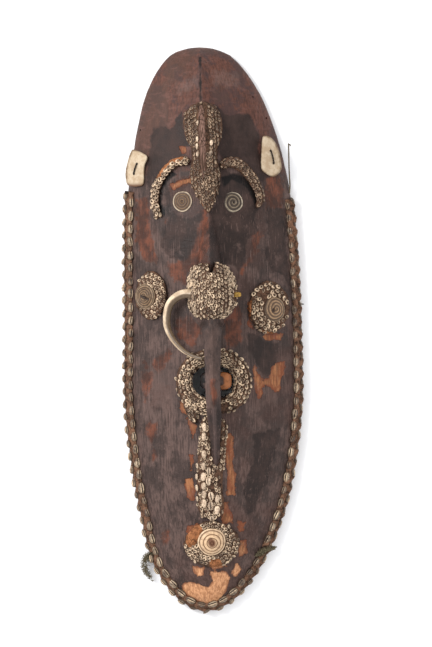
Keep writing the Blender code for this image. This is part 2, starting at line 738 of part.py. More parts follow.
def edge_parts(finishes, face_cutter):
    """The band of cowries, the stem at the right temple and the tufts at the jaw."""
    band = cut(lofts("border_band", [band_rings()], finishes["clay"]), face_cutter)
    low = face_height(STEM[0][0] * UX, STEM[0][1] * UY) + STEM_RADIUS + 4 * GAP
    stem = [Vector((x * UX, y * UY, low + STEM_STEP * i)) for i, (x, y) in enumerate(STEM)]
    lofts("rim_stem", [tube_rings(stem, [STEM_RADIUS] * len(stem), 6)], finishes["fibre"])
    deeper = stem[0] - (stem[1] - stem[0]).normalized() * GAP
    socket = lofts("stem_socket", [tube_rings([deeper] + stem[1:], [STEM_RADIUS + 2 * GAP] * len(stem), 6)])
    cut(band, socket)
    for side, route in TUFTS.items():
        points = [(x * UX, y * UY, height * TUFT_SIZE) for x, y, height, _ in route]
        radii = [radius * TUFT_SIZE for *_, radius in route]
        tuft = lofts(f"tuft_{side}", [tube_rings(points, radii, 7)], finishes["fibre"])
        cut(tuft, face_cutter)
        wider = [radius + 2 * GAP for radius in radii]
        cut(band, lofts(f"tuft_seat_{side}", [tube_rings(points, wider, 7)]))


def clear_scene():
    for found in list(bpy.data.objects):
        bpy.data.objects.remove(found)


def main():
    clear_scene()
    finishes = {
        "wood": material("painted wood", (0.09, 0.06, 0.05), 0.6),
        "clay": material("dark clay", (0.12, 0.08, 0.05), 0.85),
        "cream_shell": material("cream shell", (0.62, 0.5, 0.34), 0.5),
        "grey_shell": material("grey shell", (0.5, 0.46, 0.38), 0.5),
        "brown_shell": material("brown shell", (0.2, 0.12, 0.07), 0.5),
        "tan_shell": material("tan shell", (0.42, 0.3, 0.18), 0.5),
        "pale_shell": material("pale shell", (0.68, 0.55, 0.44), 0.5),
        "ivory": material("ivory", (0.72, 0.62, 0.47), 0.35),
        "plaque": material("plaque shell", (0.72, 0.62, 0.46), 0.5),
        "fibre": material("fibre", (0.1, 0.09, 0.07), 0.9),
        "peg": material("yellow peg", (0.6, 0.42, 0.16), 0.6),
        "thread": material("dark thread", (0.06, 0.045, 0.035), 0.9),
    }
    face_cutter = lofts("face_clearance", [outer_rings(GAP, -2 * RIM_WIDTH)])
    nose_cutter = lofts("nose_clearance", [nose_rings(GAP)])
    wood_parts(finishes["wood"])
    sockets = tusk_and_peg(finishes)
    strip_parts(finishes["clay"], face_cutter, nose_cutter)
    nose_pad_part(finishes["clay"], face_cutter, nose_cutter, sockets)
    mouth_ring_part(finishes["clay"], face_cutter, nose_cutter)
    cheek_and_chin_parts(finishes, face_cutter)
    eye_parts(finishes, face_cutter)
    plaque_parts(finishes)
    edge_parts(finishes, face_cutter)


main()
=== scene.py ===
"""Painted wood, clay, shells, tusk, shell plates and fibre of the long-nosed mask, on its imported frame."""

import math
import random

import bmesh
import bpy
import numpy as np
from bpy.props import FloatProperty, FloatVectorProperty, IntProperty, PointerProperty
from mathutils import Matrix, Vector, noise


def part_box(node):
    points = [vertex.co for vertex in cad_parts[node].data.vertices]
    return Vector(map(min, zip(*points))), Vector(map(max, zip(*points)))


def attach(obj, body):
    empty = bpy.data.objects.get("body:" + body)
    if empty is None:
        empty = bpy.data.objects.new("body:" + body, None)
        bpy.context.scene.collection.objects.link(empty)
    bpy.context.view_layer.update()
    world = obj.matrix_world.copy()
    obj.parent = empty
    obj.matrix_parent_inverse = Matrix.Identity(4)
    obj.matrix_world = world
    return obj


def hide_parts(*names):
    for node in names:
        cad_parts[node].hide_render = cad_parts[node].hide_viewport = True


bl_info = {
    "name": "Shell-set mask",
    "version": (1, 0, 0),
    "blender": (4, 5, 0),
    "location": "3D View > Sidebar > Mask",
    "description": "Dresses the long-nosed mask in painted wood, clay, shells, tusk and fibre",
    "category": "Object",
}

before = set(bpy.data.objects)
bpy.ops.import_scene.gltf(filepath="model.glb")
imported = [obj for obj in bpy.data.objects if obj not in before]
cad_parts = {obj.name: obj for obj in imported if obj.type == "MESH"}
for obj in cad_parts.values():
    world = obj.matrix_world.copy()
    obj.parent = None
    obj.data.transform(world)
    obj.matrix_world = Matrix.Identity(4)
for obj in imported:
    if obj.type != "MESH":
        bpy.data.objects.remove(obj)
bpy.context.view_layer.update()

MM = 0.001
# How much brighter the lamps are than what shows white as white.
BRIGHTNESS = 1.35

# The grid of the carving: (height, half the width there), from chin to crown.
HALF_WIDTHS = (
    (-279, 0), (-254, 39), (-230, 54), (-206, 63), (-146, 78), (-74, 86.5), (-26, 86.75),
    (118, 83), (178, 74), (226, 61), (250, 49.5), (274, 30.5), (283, 0),
)
CHIN = HALF_WIDTHS[0][0]
CROWN = HALF_WIDTHS[-1][0]
GRID_HEIGHT = CROWN - CHIN
GRID_WIDTH = 2 * max(half for _, half in HALF_WIDTHS)
SQUARED_WIDTHS = tuple((v, half * half) for v, half in HALF_WIDTHS)
LEAN = (
    (CHIN, -7), (-230, -5), (-182, -0.75), (-74, 0.5), (22, -0.5), (118, -3.5), (178, -5.5),
    (226, -9), (CROWN, -14),
)
NOSE_LINE = ((-150, 2.5), (-100, 2), (-60, 0), (-10, -0.5), (45, -3), (73, -3.5), (120, -4), (273, -12))
# (height, half width, then ridge, sides and underside above the face as shares of the nose's rise).
NOSE = (
    (-152, 2.4, -0.04, -0.05, -0.02), (-140, 3.4, 0.12, 0.02, -0.02), (-126, 4.2, 0.3, 0.16, -0.02),
    (-104, 5.2, 0.45, 0.3, -0.02), (-88, 7, 0.62, 0.46, 0.16), (-64, 7.4, 0.74, 0.58, 0.31),
    (-30, 7.8, 0.86, 0.68, 0.42),
    (-4, 9.2, 0.98, 0.76, 0.52), (2, 10.2, 1.02, 0.72, 0.5), (9, 14, 1.06, 0.12, -0.02),
    (26, 17.5, 1.08, -0.02, -0.02), (46, 16.5, 0.95, -0.05, -0.02), (73, 12.5, 0.66, -0.05, -0.02),
    (95, 8.2, 0.38, -0.05, -0.02), (117, 4, 0.12, -0.05, -0.02), (127, 2.6, -0.05, -0.06, -0.02),
)
MOUTH = (1, -51.5, 21.5, 16)
TONGUE = (3, -50.5, 15.5, 9)
EYES = {"left": (-30, 128), "right": (19.7, 127)}
CHEEKS = {"left": (-68, 33.5), "right": (61.7, 21)}
CHIN_DISC_AT = (-1.3, -211)
LASHING_HOLES = ((40, 233), (53.5, 212), (-68, 227), (-72.5, 200))
TEMPLE_HOLE = (70, 174)
# Where the stub of a cord and the twig leave the edge.
CORD_STUB_AT = (-84, 137)
TWIG_AT = (86, 26)
# Ground shells: (radius, height over the face) in millimetres.
EYE_DISC = (15.5, 0)
CHEEK_DISC = (19, 8)
CHIN_DISC = (21, 9)
# Height of the nose's peg over the face, in millimetres.
PEG_HEIGHT = 20

# Spines of the clay shapes: (x, y, half width) on the grid.
CREST = (
    (-12, 227, 3), (-11.5, 224, 12), (-11, 215, 19), (-10, 203, 19.5), (-9, 192, 18.5), (-8.6, 182, 13.5),
    (-8.3, 170, 13), (-8, 158, 15), (-7.5, 150, 15.5), (-6.5, 140, 13), (-5.5, 129, 8), (-4.5, 117, 1.5),
)
BROW_LEFT = (
    (-24.5, 168, 2.5), (-27, 168.5, 4.5), (-38, 167, 4.6), (-49, 157, 4.6), (-56.5, 143, 4.6),
    (-58.5, 128, 4.6), (-56, 116, 4), (-54.5, 112, 1.5),
)
BROW_RIGHT = (
    (8.6, 162.5, 2.5), (10.5, 164.2, 4.8), (18, 168.3, 6), (29, 163, 6), (38, 153, 5.6), (45, 141, 4.8),
    (47.5, 131, 4), (45.5, 124, 3), (44, 121, 1),
)
NOSE_PAD = (
    (-3, 67, 7), (-3, 64, 17), (-2.5, 57, 21), (-1, 45, 25), (-0.5, 31, 25.3), (-1.5, 20, 20.5),
    (-2, 13.5, 15), (-2, 10.5, 8),
)
MOUTH_RING = (
    (0, -26.5, 8.5), (16, -29, 8.5), (27, -40, 8.2), (30, -54, 8.2), (24, -69, 8.5), (9, -75.5, 7.5),
    (-8, -76, 8.5), (-22, -69, 9), (-29, -55, 8.2), (-26.5, -40, 8), (-15, -29.5, 8),
)
MOUTH_TAIL = ((-24, -62, 4), (-23, -72, 7.5), (-20.5, -82, 6), (-19, -89, 4), (-18.5, -93, 1.5))
BEARD = (
    (1.5, -87, 8), (1, -90, 13), (0.5, -100, 13.5), (-1, -118, 13.8), (-2.5, -135, 13.5),
    (-3.5, -155, 13), (-2.5, -170, 13.5), (-1, -183, 12.5), (-1, -187.5, 7),
)
CHEEK_PADS = {"left": (-62, 34.5, 15.8, 25.5), "right": (56, 22.5, 20.5, 27.5)}
CHIN_PAD = (-1, -213.5, 28, 24)
TUSK = (
    (-20, 35.5), (-27, 36), (-35.5, 33), (-42.5, 26), (-45.6, 15.5), (-45.4, 4), (-41.5, -6), (-35, -15),
    (-27, -22), (-18, -26.5), (-10.5, -28),
)
NOSE_PEG = (20, 35.3, 8)
BAND_ENDS = {"left": 139, "right": 134}
PLAQUES = {
    "left": (
        (-76, 143), (-69, 146), (-68, 163), (-65.5, 173.5), (-78, 180), (-82, 177), (-86.5, 161),
        (-86.5, 150), (-84, 144.5),
    ),
    "right": (
        (54, 155), (48, 161), (48, 178), (49, 191), (51.5, 194), (58, 191.5), (64, 183), (68, 165),
        (66.5, 158), (60, 153),
    ),
}
PLAQUE_LEAN = math.radians(30)
THREADS = {"left": ((-75, 166), (-78, 156)), "right": ((56.5, 179), (59.5, 166.5))}
STEM = ((76.5, 137), (76.8, 153), (75.4, 183), (76.6, 185.5), (77.3, 184))
# (x and y on the grid, height and radius in millimetres) along each tuft.
TUFTS = {
    "left": (
        (-58, -224, 12, 4), (-66, -227, 11, 7), (-69, -235, 10, 7.5), (-66, -244, 9, 5.5),
        (-59.5, -252, 8, 2),
    ),
    "right": (
        (42, -226, 27, 2), (47, -223, 25, 5), (53, -220, 20, 5.5), (60, -218, 15, 4), (64, -217, 13, 1.5)
    ),
}

# Outlines of the paint and of the painted shade, the bare wood and the scuffs: (x, y) on the grid.
# Black paint, and painted shade on the right face of the nose's bridge.
BLACK_PAINT_AND_SHADE = (
    ((-60, 201), (-52, 206), (-42, 201), (-32, 219), (-24, 226), (-14, 228), (-27, 226), (-31, 214),
     (-28, 193), (-24, 184), (-32, 183), (-34, 178), (-27, 173), (-42, 168), (-52, 157), (-59, 147),
     (-64, 131), (-65, 162), (-64, 182)),
    ((-11, 229), (7, 224), (12, 214), (35, 214), (40, 208), (47, 193), (46, 180), (49, 162), (56, 155),
     (50, 146), (41, 156), (25, 169), (9, 168), (5, 175), (3, 188), (7, 201), (3, 216)),
    ((-48, 146), (-42, 140), (-42, 118), (-24, 111), (-9, 118), (-13, 104), (-18, 90), (-26, 71),
     (-43, 70), (-52, 80), (-52, 90), (-49, 101), (-44, 111), (-47, 120)),
    ((7, 162), (25, 156), (41, 146), (45, 124), (41, 111), (47, 99), (36, 90), (32, 75), (25, 59),
     (19, 65), (7, 67), (2, 90), (-2, 111), (5, 131)),
    ((36, -4), (55, -11), (67, -12), (63, -31), (56, -45), (49, -45), (41, -32), (35, -18)),
    ((50, 84), (67, 84), (76, 65), (81, 26), (73, 52), (56, 58)),
    ((40, -103), (67, -98), (64, -122), (56, -141), (41, -179), (32, -190), (32, -154), (41, -128)),
    # Painted shade: the right face of the nose's bridge, turned from the light.
    ((-3, 120), (4, 112), (10, 68), (-3, 66)),
    ((54, 120), (72, 120), (75, 92), (74, 70), (60, 72), (54, 95)),
    ((-5, -80), (8, -80), (7, -118), (3, -150), (-3, -150), (-5, -118)),
)
# Painted shade: near-black in the hollows under the inner sides of both brows, and a thin dark line along
# the crown's keel.
PAINTED_SHADE = (
    ((-42, 159), (-50, 150), (-55, 134), (-54, 117), (-47, 112), (-46, 118), (-51, 127), (-50, 140),
     (-45, 149), (-36, 155)),
    ((8, 152), (19, 156), (30, 153), (38, 146), (44, 134), (47, 123), (42, 125), (36, 138), (28, 146),
     (19, 149), (11, 142)),
    ((-13.6, 272), (-12.2, 272), (-11.6, 226), (-13.2, 226)),
)
RED_WOOD = (
    ((-79, 131), (-66, 134), (-63, 118), (-61, 90), (-56, 68), (-67, 68), (-76, 90)),
    ((51, 154), (63, 154), (70, 140), (70, 120), (55, 120), (49, 135)),
    ((-15, 118), (-4, 124), (-3.5, 66), (-18, 66), (-21, 80), (-15, 100)),
    ((-48, 65), (-15, 77), (-15, 67), (-26, 48), (-39, 48)),
    ((39, 90), (49, 98), (44, 75), (37, 67), (28, 52), (26, 59), (35, 73)),
    ((39, 97), (46, 99), (45, 89), (40, 87)),
    ((12, 11), (24, 24), (28, 14), (31, -7), (25, -17), (14, -17), (11, 1)),
    ((-39, 14), (-21, 11), (-11, 1), (-21, -16), (-34, -7)),
    ((-60, -32), (-43, -17), (-39, -25), (-55, -43)),
    ((-52, 109), (-46, 110), (-47, 104)),
    ((-4, -48), (3, -48), (4, -74), (0, -80), (-3, -70)),
    ((-72, -41), (-61, -42), (-62, -54), (-66, -67), (-68, -77), (-70, -63), (-72, -50)),
    ((-69, -31), (-66, -32), (-65, -39), (-68, -39)),
    ((-65, -92), (-56, -93), (-57, -107), (-62, -112), (-66, -102)),
    ((-61, -115), (-58, -115), (-58, -129), (-60, -128)),
    ((-50, -203), (-44, -201), (-43, -211), (-48, -213)),
    ((-52, 157), (-46, 167), (-32, 172), (-24, 173), (-29, 168), (-42, 162), (-49, 154)),
    ((-43, 144), (-32, 150), (-21, 152), (-19, 146), (-31, 145), (-42, 140)),
)
BARE_WOOD = (
    ((-34, 183), (-27, 183), (-26, 177), (-32, 175)),
    ((-42, 144), (-31, 150), (-21, 152.5), (-20, 146), (-30, 144.5), (-40, 140)),
    ((39, -37), (42, -35), (46, -45), (50, -50), (56, -48), (59, -36), (63, -32), (72, -31), (71, -44),
     (68, -53), (67, -62), (62, -62), (54, -55), (49, -57), (50, -68), (45, -68), (41, -50)),
    ((-34, -70), (-29, -72), (-23, -80), (-26, -85), (-32, -80)),
    ((-27, -85), (-23, -89), (-18, -99), (-19, -109), (-21, -108), (-21, -100)),
    ((-24, -90), (-16, -95), (-19, -107), (-22, -100)),
    ((-24, -124), (-19, -123), (-20, -133), (-22, -141)),
    ((-29, -147), (-20, -147), (-17, -159), (-21, -170), (-25, -165), (-28, -156)),
    ((11, -112), (15, -102), (20.5, -104), (21, -120), (20, -132), (22, -145), (22, -158), (23.5, -166),
     (12, -165), (14, -156), (15, -140), (12.5, -131), (11.5, -120)),
    ((7, -170), (14.5, -171), (17, -182), (21, -191), (9, -194), (8, -184)),
    ((-26, -196), (-14, -193), (-11, -198), (-15, -207), (-21, -216), (-26, -213)),
    ((25, -190), (33, -192), (31, -202), (25, -202)),
    ((25, -209), (33, -210), (34, -222), (25, -228)),
    ((18, -243), (24, -228), (29, -240), (22, -248)),
    ((-4, -226), (7, -226), (13, -236), (-1, -239)),
    ((-20, -236), (-9, -237), (-10, -246), (-16, -247)),
    ((-4, -240), (13, -241), (18, -247), (14, -258), (10, -268), (4, -275), (-8, -276), (-17, -270),
     (-31, -262), (-30, -254), (-24, -251), (-14, -253), (-5, -256), (-1, -251)),
    ((34, 29), (39, 30), (37, 19), (36, 11), (40, 1), (36, 3)),
    ((47, -4), (70, -4), (68, -10), (51, -11)),
)
GREY_SCUFFS = (
    ((-37, 242), (-27, 250), (-15, 253), (-14, 245), (-28, 237), (-35, 236)),
    ((0, 260), (23, 258), (27, 246), (15, 240), (1, 244)),
    ((-61, -42), (-37, -38), (-35, -72), (-57, -74)),
    ((-51, 134), (-46, 137), (-44, 124), (-49, 121)),
)

# Parts of the clay that have lost both their surface and their small shells, then all that have lost
# their surface, and all where no small shell is set.
LOST_CLAY = (
    ((-27, -194), (-12, -192), (-10, -200), (-15, -210), (-22, -218), (-27, -212)),
    ((-4, -228), (8, -228), (12, -240), (-3, -240)),
)
BARE_CLAY = LOST_CLAY + (
    ((26, -192), (31, -192), (31, -202), (26, -200)),
    ((34, 30), (39, 31), (37, 12), (41, -4), (55, -9), (70, -9), (68, -3), (45, 0), (38, 8), (34, 22)),
    ((10.5, -83), (14.5, -84), (14, -89), (10.5, -89)),
    ((-57, 152), (-50, 163), (-38, 173), (-25, 173), (-25, 169), (-38, 168), (-48, 159.5), (-54, 149)),
    ((-14, 122), (-9, 128), (-9, 118), (-13, 115)),
)
NO_SHELLS = LOST_CLAY + (
    ((8, -74), (15, -72), (14, -88), (7, -88)),
    ((46, 38), (56, 39), (56, 31), (47, 29)),
    ((-15.5, 226), (-8, 226), (-5.5, 205), (-5, 185), (-6.5, 158), (-11.5, 158), (-13.5, 200)),
    ((-57, 152), (-50, 163), (-38, 173), (-29, 173), (-29, 169), (-38, 168), (-48, 159.5), (-54, 149)),
    ((-5, 70), (2.5, 70), (-1, 54)),
)

WOOD_LOW, WOOD_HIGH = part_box("mask_wood")


class MaskSizes(bpy.types.PropertyGroup):
    """Sizes of the wood, the clay and what is set in it."""

    length: FloatProperty(
        name="Length", description="From chin to crown", default=WOOD_HIGH.y - WOOD_LOW.y, unit="LENGTH"
    )
    width: FloatProperty(name="Width", description="Across the widest part", default=0.26, unit="LENGTH")
    face_depth: FloatProperty(
        name="Face depth", description="From the back rim to the face", default=0.088, unit="LENGTH"
    )
    rim_width: FloatProperty(name="Rim width", description="Of the back rim", default=0.012, unit="LENGTH")
    rim_height: FloatProperty(name="Rim height", description="Of the side", default=0.008, unit="LENGTH")
    wall: FloatProperty(name="Wall", description="Thickness of the wood", default=0.013, unit="LENGTH")
    keel_rise: FloatProperty(
        name="Keel", description="Rise of the crown's keel", default=0.007, unit="LENGTH"
    )
    eye_hollow: FloatProperty(
        name="Eye hollow", description="Depth of the eyes", default=0.006, unit="LENGTH"
    )
    nose_rise: FloatProperty(name="Nose", description="Rise of the nose", default=0.044, unit="LENGTH")
    hole: FloatProperty(name="Hole", description="Width of a lashing hole", default=0.0032, unit="LENGTH")
    tool_mark: FloatProperty(
        name="Tool mark", description="Depth of the cuts", default=0.0007, unit="LENGTH"
    )
    clay_grain: FloatProperty(
        name="Clay grain", description="Size of the clay's facets", default=0.0016, unit="LENGTH"
    )
    clay_rough: FloatProperty(
        name="Clay lumps", description="Height of its lumps", default=0.0009, unit="LENGTH"
    )
    clay_sunk: FloatProperty(
        name="Clay sunk", description="How deep clay meets the wood", default=0.0014, unit="LENGTH"
    )
    nassa_length: FloatProperty(
        name="Small shell", description="Length of a small shell", default=0.0092, unit="LENGTH"
    )
    cowrie_length: FloatProperty(
        name="Cowrie", description="Length of a cowrie", default=0.0165, unit="LENGTH"
    )
    cowrie_pitch: FloatProperty(
        name="Cowrie pitch", description="Along the edge", default=0.0195, unit="LENGTH"
    )
    band_width: FloatProperty(name="Band width", description="Of the clay edge", default=0.01, unit="LENGTH")
    tusk_radius: FloatProperty(name="Tusk radius", description="At its root", default=0.0072, unit="LENGTH")
    tusk_lift: FloatProperty(name="Tusk lift", description="Over the face", default=0.021, unit="LENGTH")
    plaque: FloatProperty(name="Shell plate", description="Thickness", default=0.0032, unit="LENGTH")
    thread: FloatProperty(name="Thread", description="Radius", default=0.0009, unit="LENGTH")


class MaskColours(bpy.types.PropertyGroup):
    """Colours of the finishes, as they are seen."""

    red_wood: FloatVectorProperty(
        name="Red wood", description="Bare crown", default=(0.39, 0.262, 0.228), subtype="COLOR_GAMMA"
    )
    grey_paint: FloatVectorProperty(
        name="Grey paint", description="Worn paint of the face", default=(0.355, 0.284, 0.262),
        subtype="COLOR_GAMMA"
    )
    black_paint: FloatVectorProperty(
        name="Black paint", description="Dark paint", default=(0.195, 0.148, 0.134), subtype="COLOR_GAMMA"
    )
    bare_wood: FloatVectorProperty(
        name="Bare wood", description="Under lost paint", default=(0.76, 0.53, 0.37), subtype="COLOR_GAMMA"
    )
    clay: FloatVectorProperty(
        name="Clay", description="Clay", default=(0.325, 0.24, 0.19), subtype="COLOR_GAMMA"
    )
    shell: FloatVectorProperty(
        name="Shell", description="Pale shell", default=(0.85, 0.76, 0.66), subtype="COLOR_GAMMA"
    )
    ivory: FloatVectorProperty(
        name="Ivory", description="Tusk", default=(0.92, 0.83, 0.71), subtype="COLOR_GAMMA"
    )


class MaskStage(bpy.types.PropertyGroup):
    """The floor, the light and the camera."""

    distance: FloatProperty(name="Distance", description="Of the camera", default=12.0, unit="LENGTH")
    frame_height: FloatProperty(
        name="Seen height", description="Of the picture", default=0.9705, unit="LENGTH"
    )
    centre_x: FloatProperty(name="Centre X", description="Of the picture", default=0.0045, unit="LENGTH")
    centre_y: FloatProperty(name="Centre Y", description="Of the picture", default=0.00975, unit="LENGTH")
    key: FloatProperty(name="Key light", description="Power from the left", default=80.0)
    fill: FloatProperty(name="Fill light", description="Power from the right", default=18.0)
    sky: FloatProperty(name="Sky", description="Strength of the soft light all round", default=1.08)
    seed: IntProperty(name="Seed", description="Of the loose places", default=7)


def through(stations, at):
    """Smooth values at places, through (place, value) stations in rising order of place."""
    places = np.array([s[0] for s in stations], float)
    values = np.array([s[1] for s in stations], float)
    low = np.maximum(np.arange(len(places)) - 1, 0)
    high = np.minimum(np.arange(len(places)) + 1, len(places) - 1)
    slopes = (values[high] - values[low]) / (places[high] - places[low])
    at = np.clip(at, places[0], places[-1])
    i = np.clip(np.searchsorted(places, at, side="right") - 1, 0, len(places) - 2)
    step = places[i + 1] - places[i]
    t = (at - places[i]) / step
    rise = values[i + 1] - values[i]
    start = slopes[i] * step
    end = slopes[i + 1] * step
    return values[i] + t * start + t * t * (3 * rise - 2 * start - end) + t**3 * (start + end - 2 * rise)


def smooth_path(points, count):
    """Tuples of numbers spread in count along a smooth curve through the given ones."""
    at = np.linspace(0, len(points) - 1, count)
    columns = [through([(k, p[c]) for k, p in enumerate(points)], at) for c in range(len(points[0]))]
    return [tuple(float(column[i]) for column in columns) for i in range(count)]


class Form:
    """The surface of the face, from its sizes. Heights v are on the grid, other lengths in metres."""

    def __init__(self, sizes):
        self.sizes = sizes
        self.ux = sizes.width / GRID_WIDTH
        self.uy = sizes.length / GRID_HEIGHT

    def half_width(self, v):
        return np.sqrt(np.maximum(through(SQUARED_WIDTHS, v), 0)) * self.ux

    def middle(self, v):
        return through(LEAN, v) * self.ux

    def depth_at(self, v):
        share = np.abs(2 * (v - (CROWN + CHIN) / 2) / GRID_HEIGHT)
        return (self.sizes.face_depth - self.sizes.rim_height) * np.maximum(1 - share**2.6, 0) ** 0.6

    @staticmethod
    def bow(u):
        return np.maximum(1 - np.abs(u) ** 1.5, 0) ** 0.75

    def carving(self, x, y):
        v = y / self.uy
        off_keel = np.abs(x - through(NOSE_LINE, v) * self.ux) / (9 * self.ux)
        fade = np.clip((v - 120) / 60, 0, 1) * np.clip((CROWN - v) / 16, 0, 1)
        rise = self.sizes.keel_rise * np.maximum(1 - off_keel, 0) * fade
        for eye_x, eye_y in EYES.values():
            away = ((x / self.ux - eye_x) / 17) ** 2 + ((v - eye_y) / 22) ** 2
            rise = rise - self.sizes.eye_hollow * np.exp(-away * 1.5)
        return rise

    def height(self, x, y):
        v = y / self.uy
        bow = self.bow((x - self.middle(v)) / np.maximum(self.half_width(v), MM))
        return self.sizes.rim_height + self.depth_at(v) * bow + self.carving(x, y) * np.minimum(1, 4 * bow)

    def normal(self, x, y):
        step = 2 * MM
        slope_x = (self.height(x + step, y) - self.height(x - step, y)) / (2 * step)
        slope_y = (self.height(x, y + step) - self.height(x, y - step)) / (2 * step)
        return Vector((-slope_x, -slope_y, 1)).normalized()

    def place(self, grid_x, grid_y, lift=0.0):
        """The point of the face at a place on the grid, raised by lift."""
        x, y = grid_x * self.ux, grid_y * self.uy
        return Vector((x, y, float(self.height(x, y)) + lift))

    def nose_section(self, v):
        """(middle, half width, ridge, side, underside) of the nose and bar."""
        half, ridge, side, under = (float(through([(r[0], r[k]) for r in NOSE], v)) for k in (1, 2, 3, 4))
        x, half, y = float(through(NOSE_LINE, v)) * self.ux, half * self.ux, v * self.uy
        ground = float(min(self.height(x - half, y), self.height(x + half, y)))
        rise = self.sizes.nose_rise
        bottom = ground + under * rise if under > 0.05 else ground - 4 * MM
        return x, half, float(self.height(x, y)) + ridge * rise, ground + side * rise, bottom


def new_mesh_object(name, points, faces, finish=None, smooth=True):
    """An object with a cleaned mesh whose faces point outwards."""
    data = bpy.data.meshes.new(name)
    data.from_pydata([tuple(p) for p in points], [], faces)
    mesh = bmesh.new()
    mesh.from_mesh(data)
    bmesh.ops.remove_doubles(mesh, verts=mesh.verts, dist=0.005 * MM)
    bmesh.ops.dissolve_degenerate(mesh, edges=mesh.edges, dist=0.002 * MM)
    bmesh.ops.recalc_face_normals(mesh, faces=mesh.faces)
    mesh.to_mesh(data)
    mesh.free()
    if smooth:
        data.shade_smooth()
    if finish:
        data.materials.append(finish)
    made = bpy.data.objects.new(name, data)
    bpy.context.collection.objects.link(made)
    return made


def band_faces(rows, around):
    """Faces between rows of points, each row closed round."""
    faces = []
    for i in range(rows - 1):
        for k in range(around):
            nxt = (k + 1) % around
            faces.append((i * around + k, i * around + nxt, (i + 1) * around + nxt, (i + 1) * around + k))
    return faces


def swept(rings):
    """(points, faces) of a skin over rings with equal counts of points, capped at both ends."""
    count = len(rings[0])
    points = [p for ring in rings for p in ring]
    faces = band_faces(len(rings), count)
    faces.append(tuple(reversed(range(count))))
    faces.append(tuple((len(rings) - 1) * count + k for k in range(count)))
    return points, faces


def swept_object(name, rings, finish=None):
    return new_mesh_object(name, *swept(rings), finish)


def tube_rings(points, radii, sides=10):
    """Round sections along a path in space."""
    points = [Vector(p) for p in points]
    rings = []
    upright = Vector((0, 0, 1))
    for i, (point, radius) in enumerate(zip(points, radii)):
        along = (points[min(i + 1, len(points) - 1)] - points[max(i - 1, 0)]).normalized()
        side = along.cross(upright)
        side = side.normalized() if side.length > 1e-6 else Vector((1, 0, 0))
        up = side.cross(along).normalized()
        ring = []
        for k in range(sides):
            angle = 2 * math.pi * k / sides
            ring.append(point + (side * math.cos(angle) + up * math.sin(angle)) * radius)
        rings.append(ring)
    return rings


def baked(obj, name=None):
    """The object's evaluated mesh in a new object, in place of the old one."""
    name = name or obj.name
    graph = bpy.context.evaluated_depsgraph_get()
    data = bpy.data.meshes.new_from_object(obj.evaluated_get(graph), depsgraph=graph)
    bpy.data.objects.remove(obj)
    made = bpy.data.objects.new(name, data)
    data.name = name
    bpy.context.collection.objects.link(made)
    return made


def drop(*objects):
    for obj in objects:
        bpy.data.objects.remove(obj)


def point_values(obj, name, values):
    """Stores one number for each point of the mesh under a name that the finish reads."""
    stored = obj.data.attributes.new(name, "FLOAT", "POINT")
    stored.data.foreach_set("value", np.asarray(values, dtype=np.float32))


def co_array(obj):
    co = np.zeros(len(obj.data.vertices) * 3)
    obj.data.vertices.foreach_get("co", co)
    return co.reshape(-1, 3)


def settle(obj, slot, *nodes):
    """The finished piece rides on the mask and stands for its nodes of the frame, which are hidden; slot is
    not used.
    """
    if nodes:
        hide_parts(*nodes)
    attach(obj, "root")


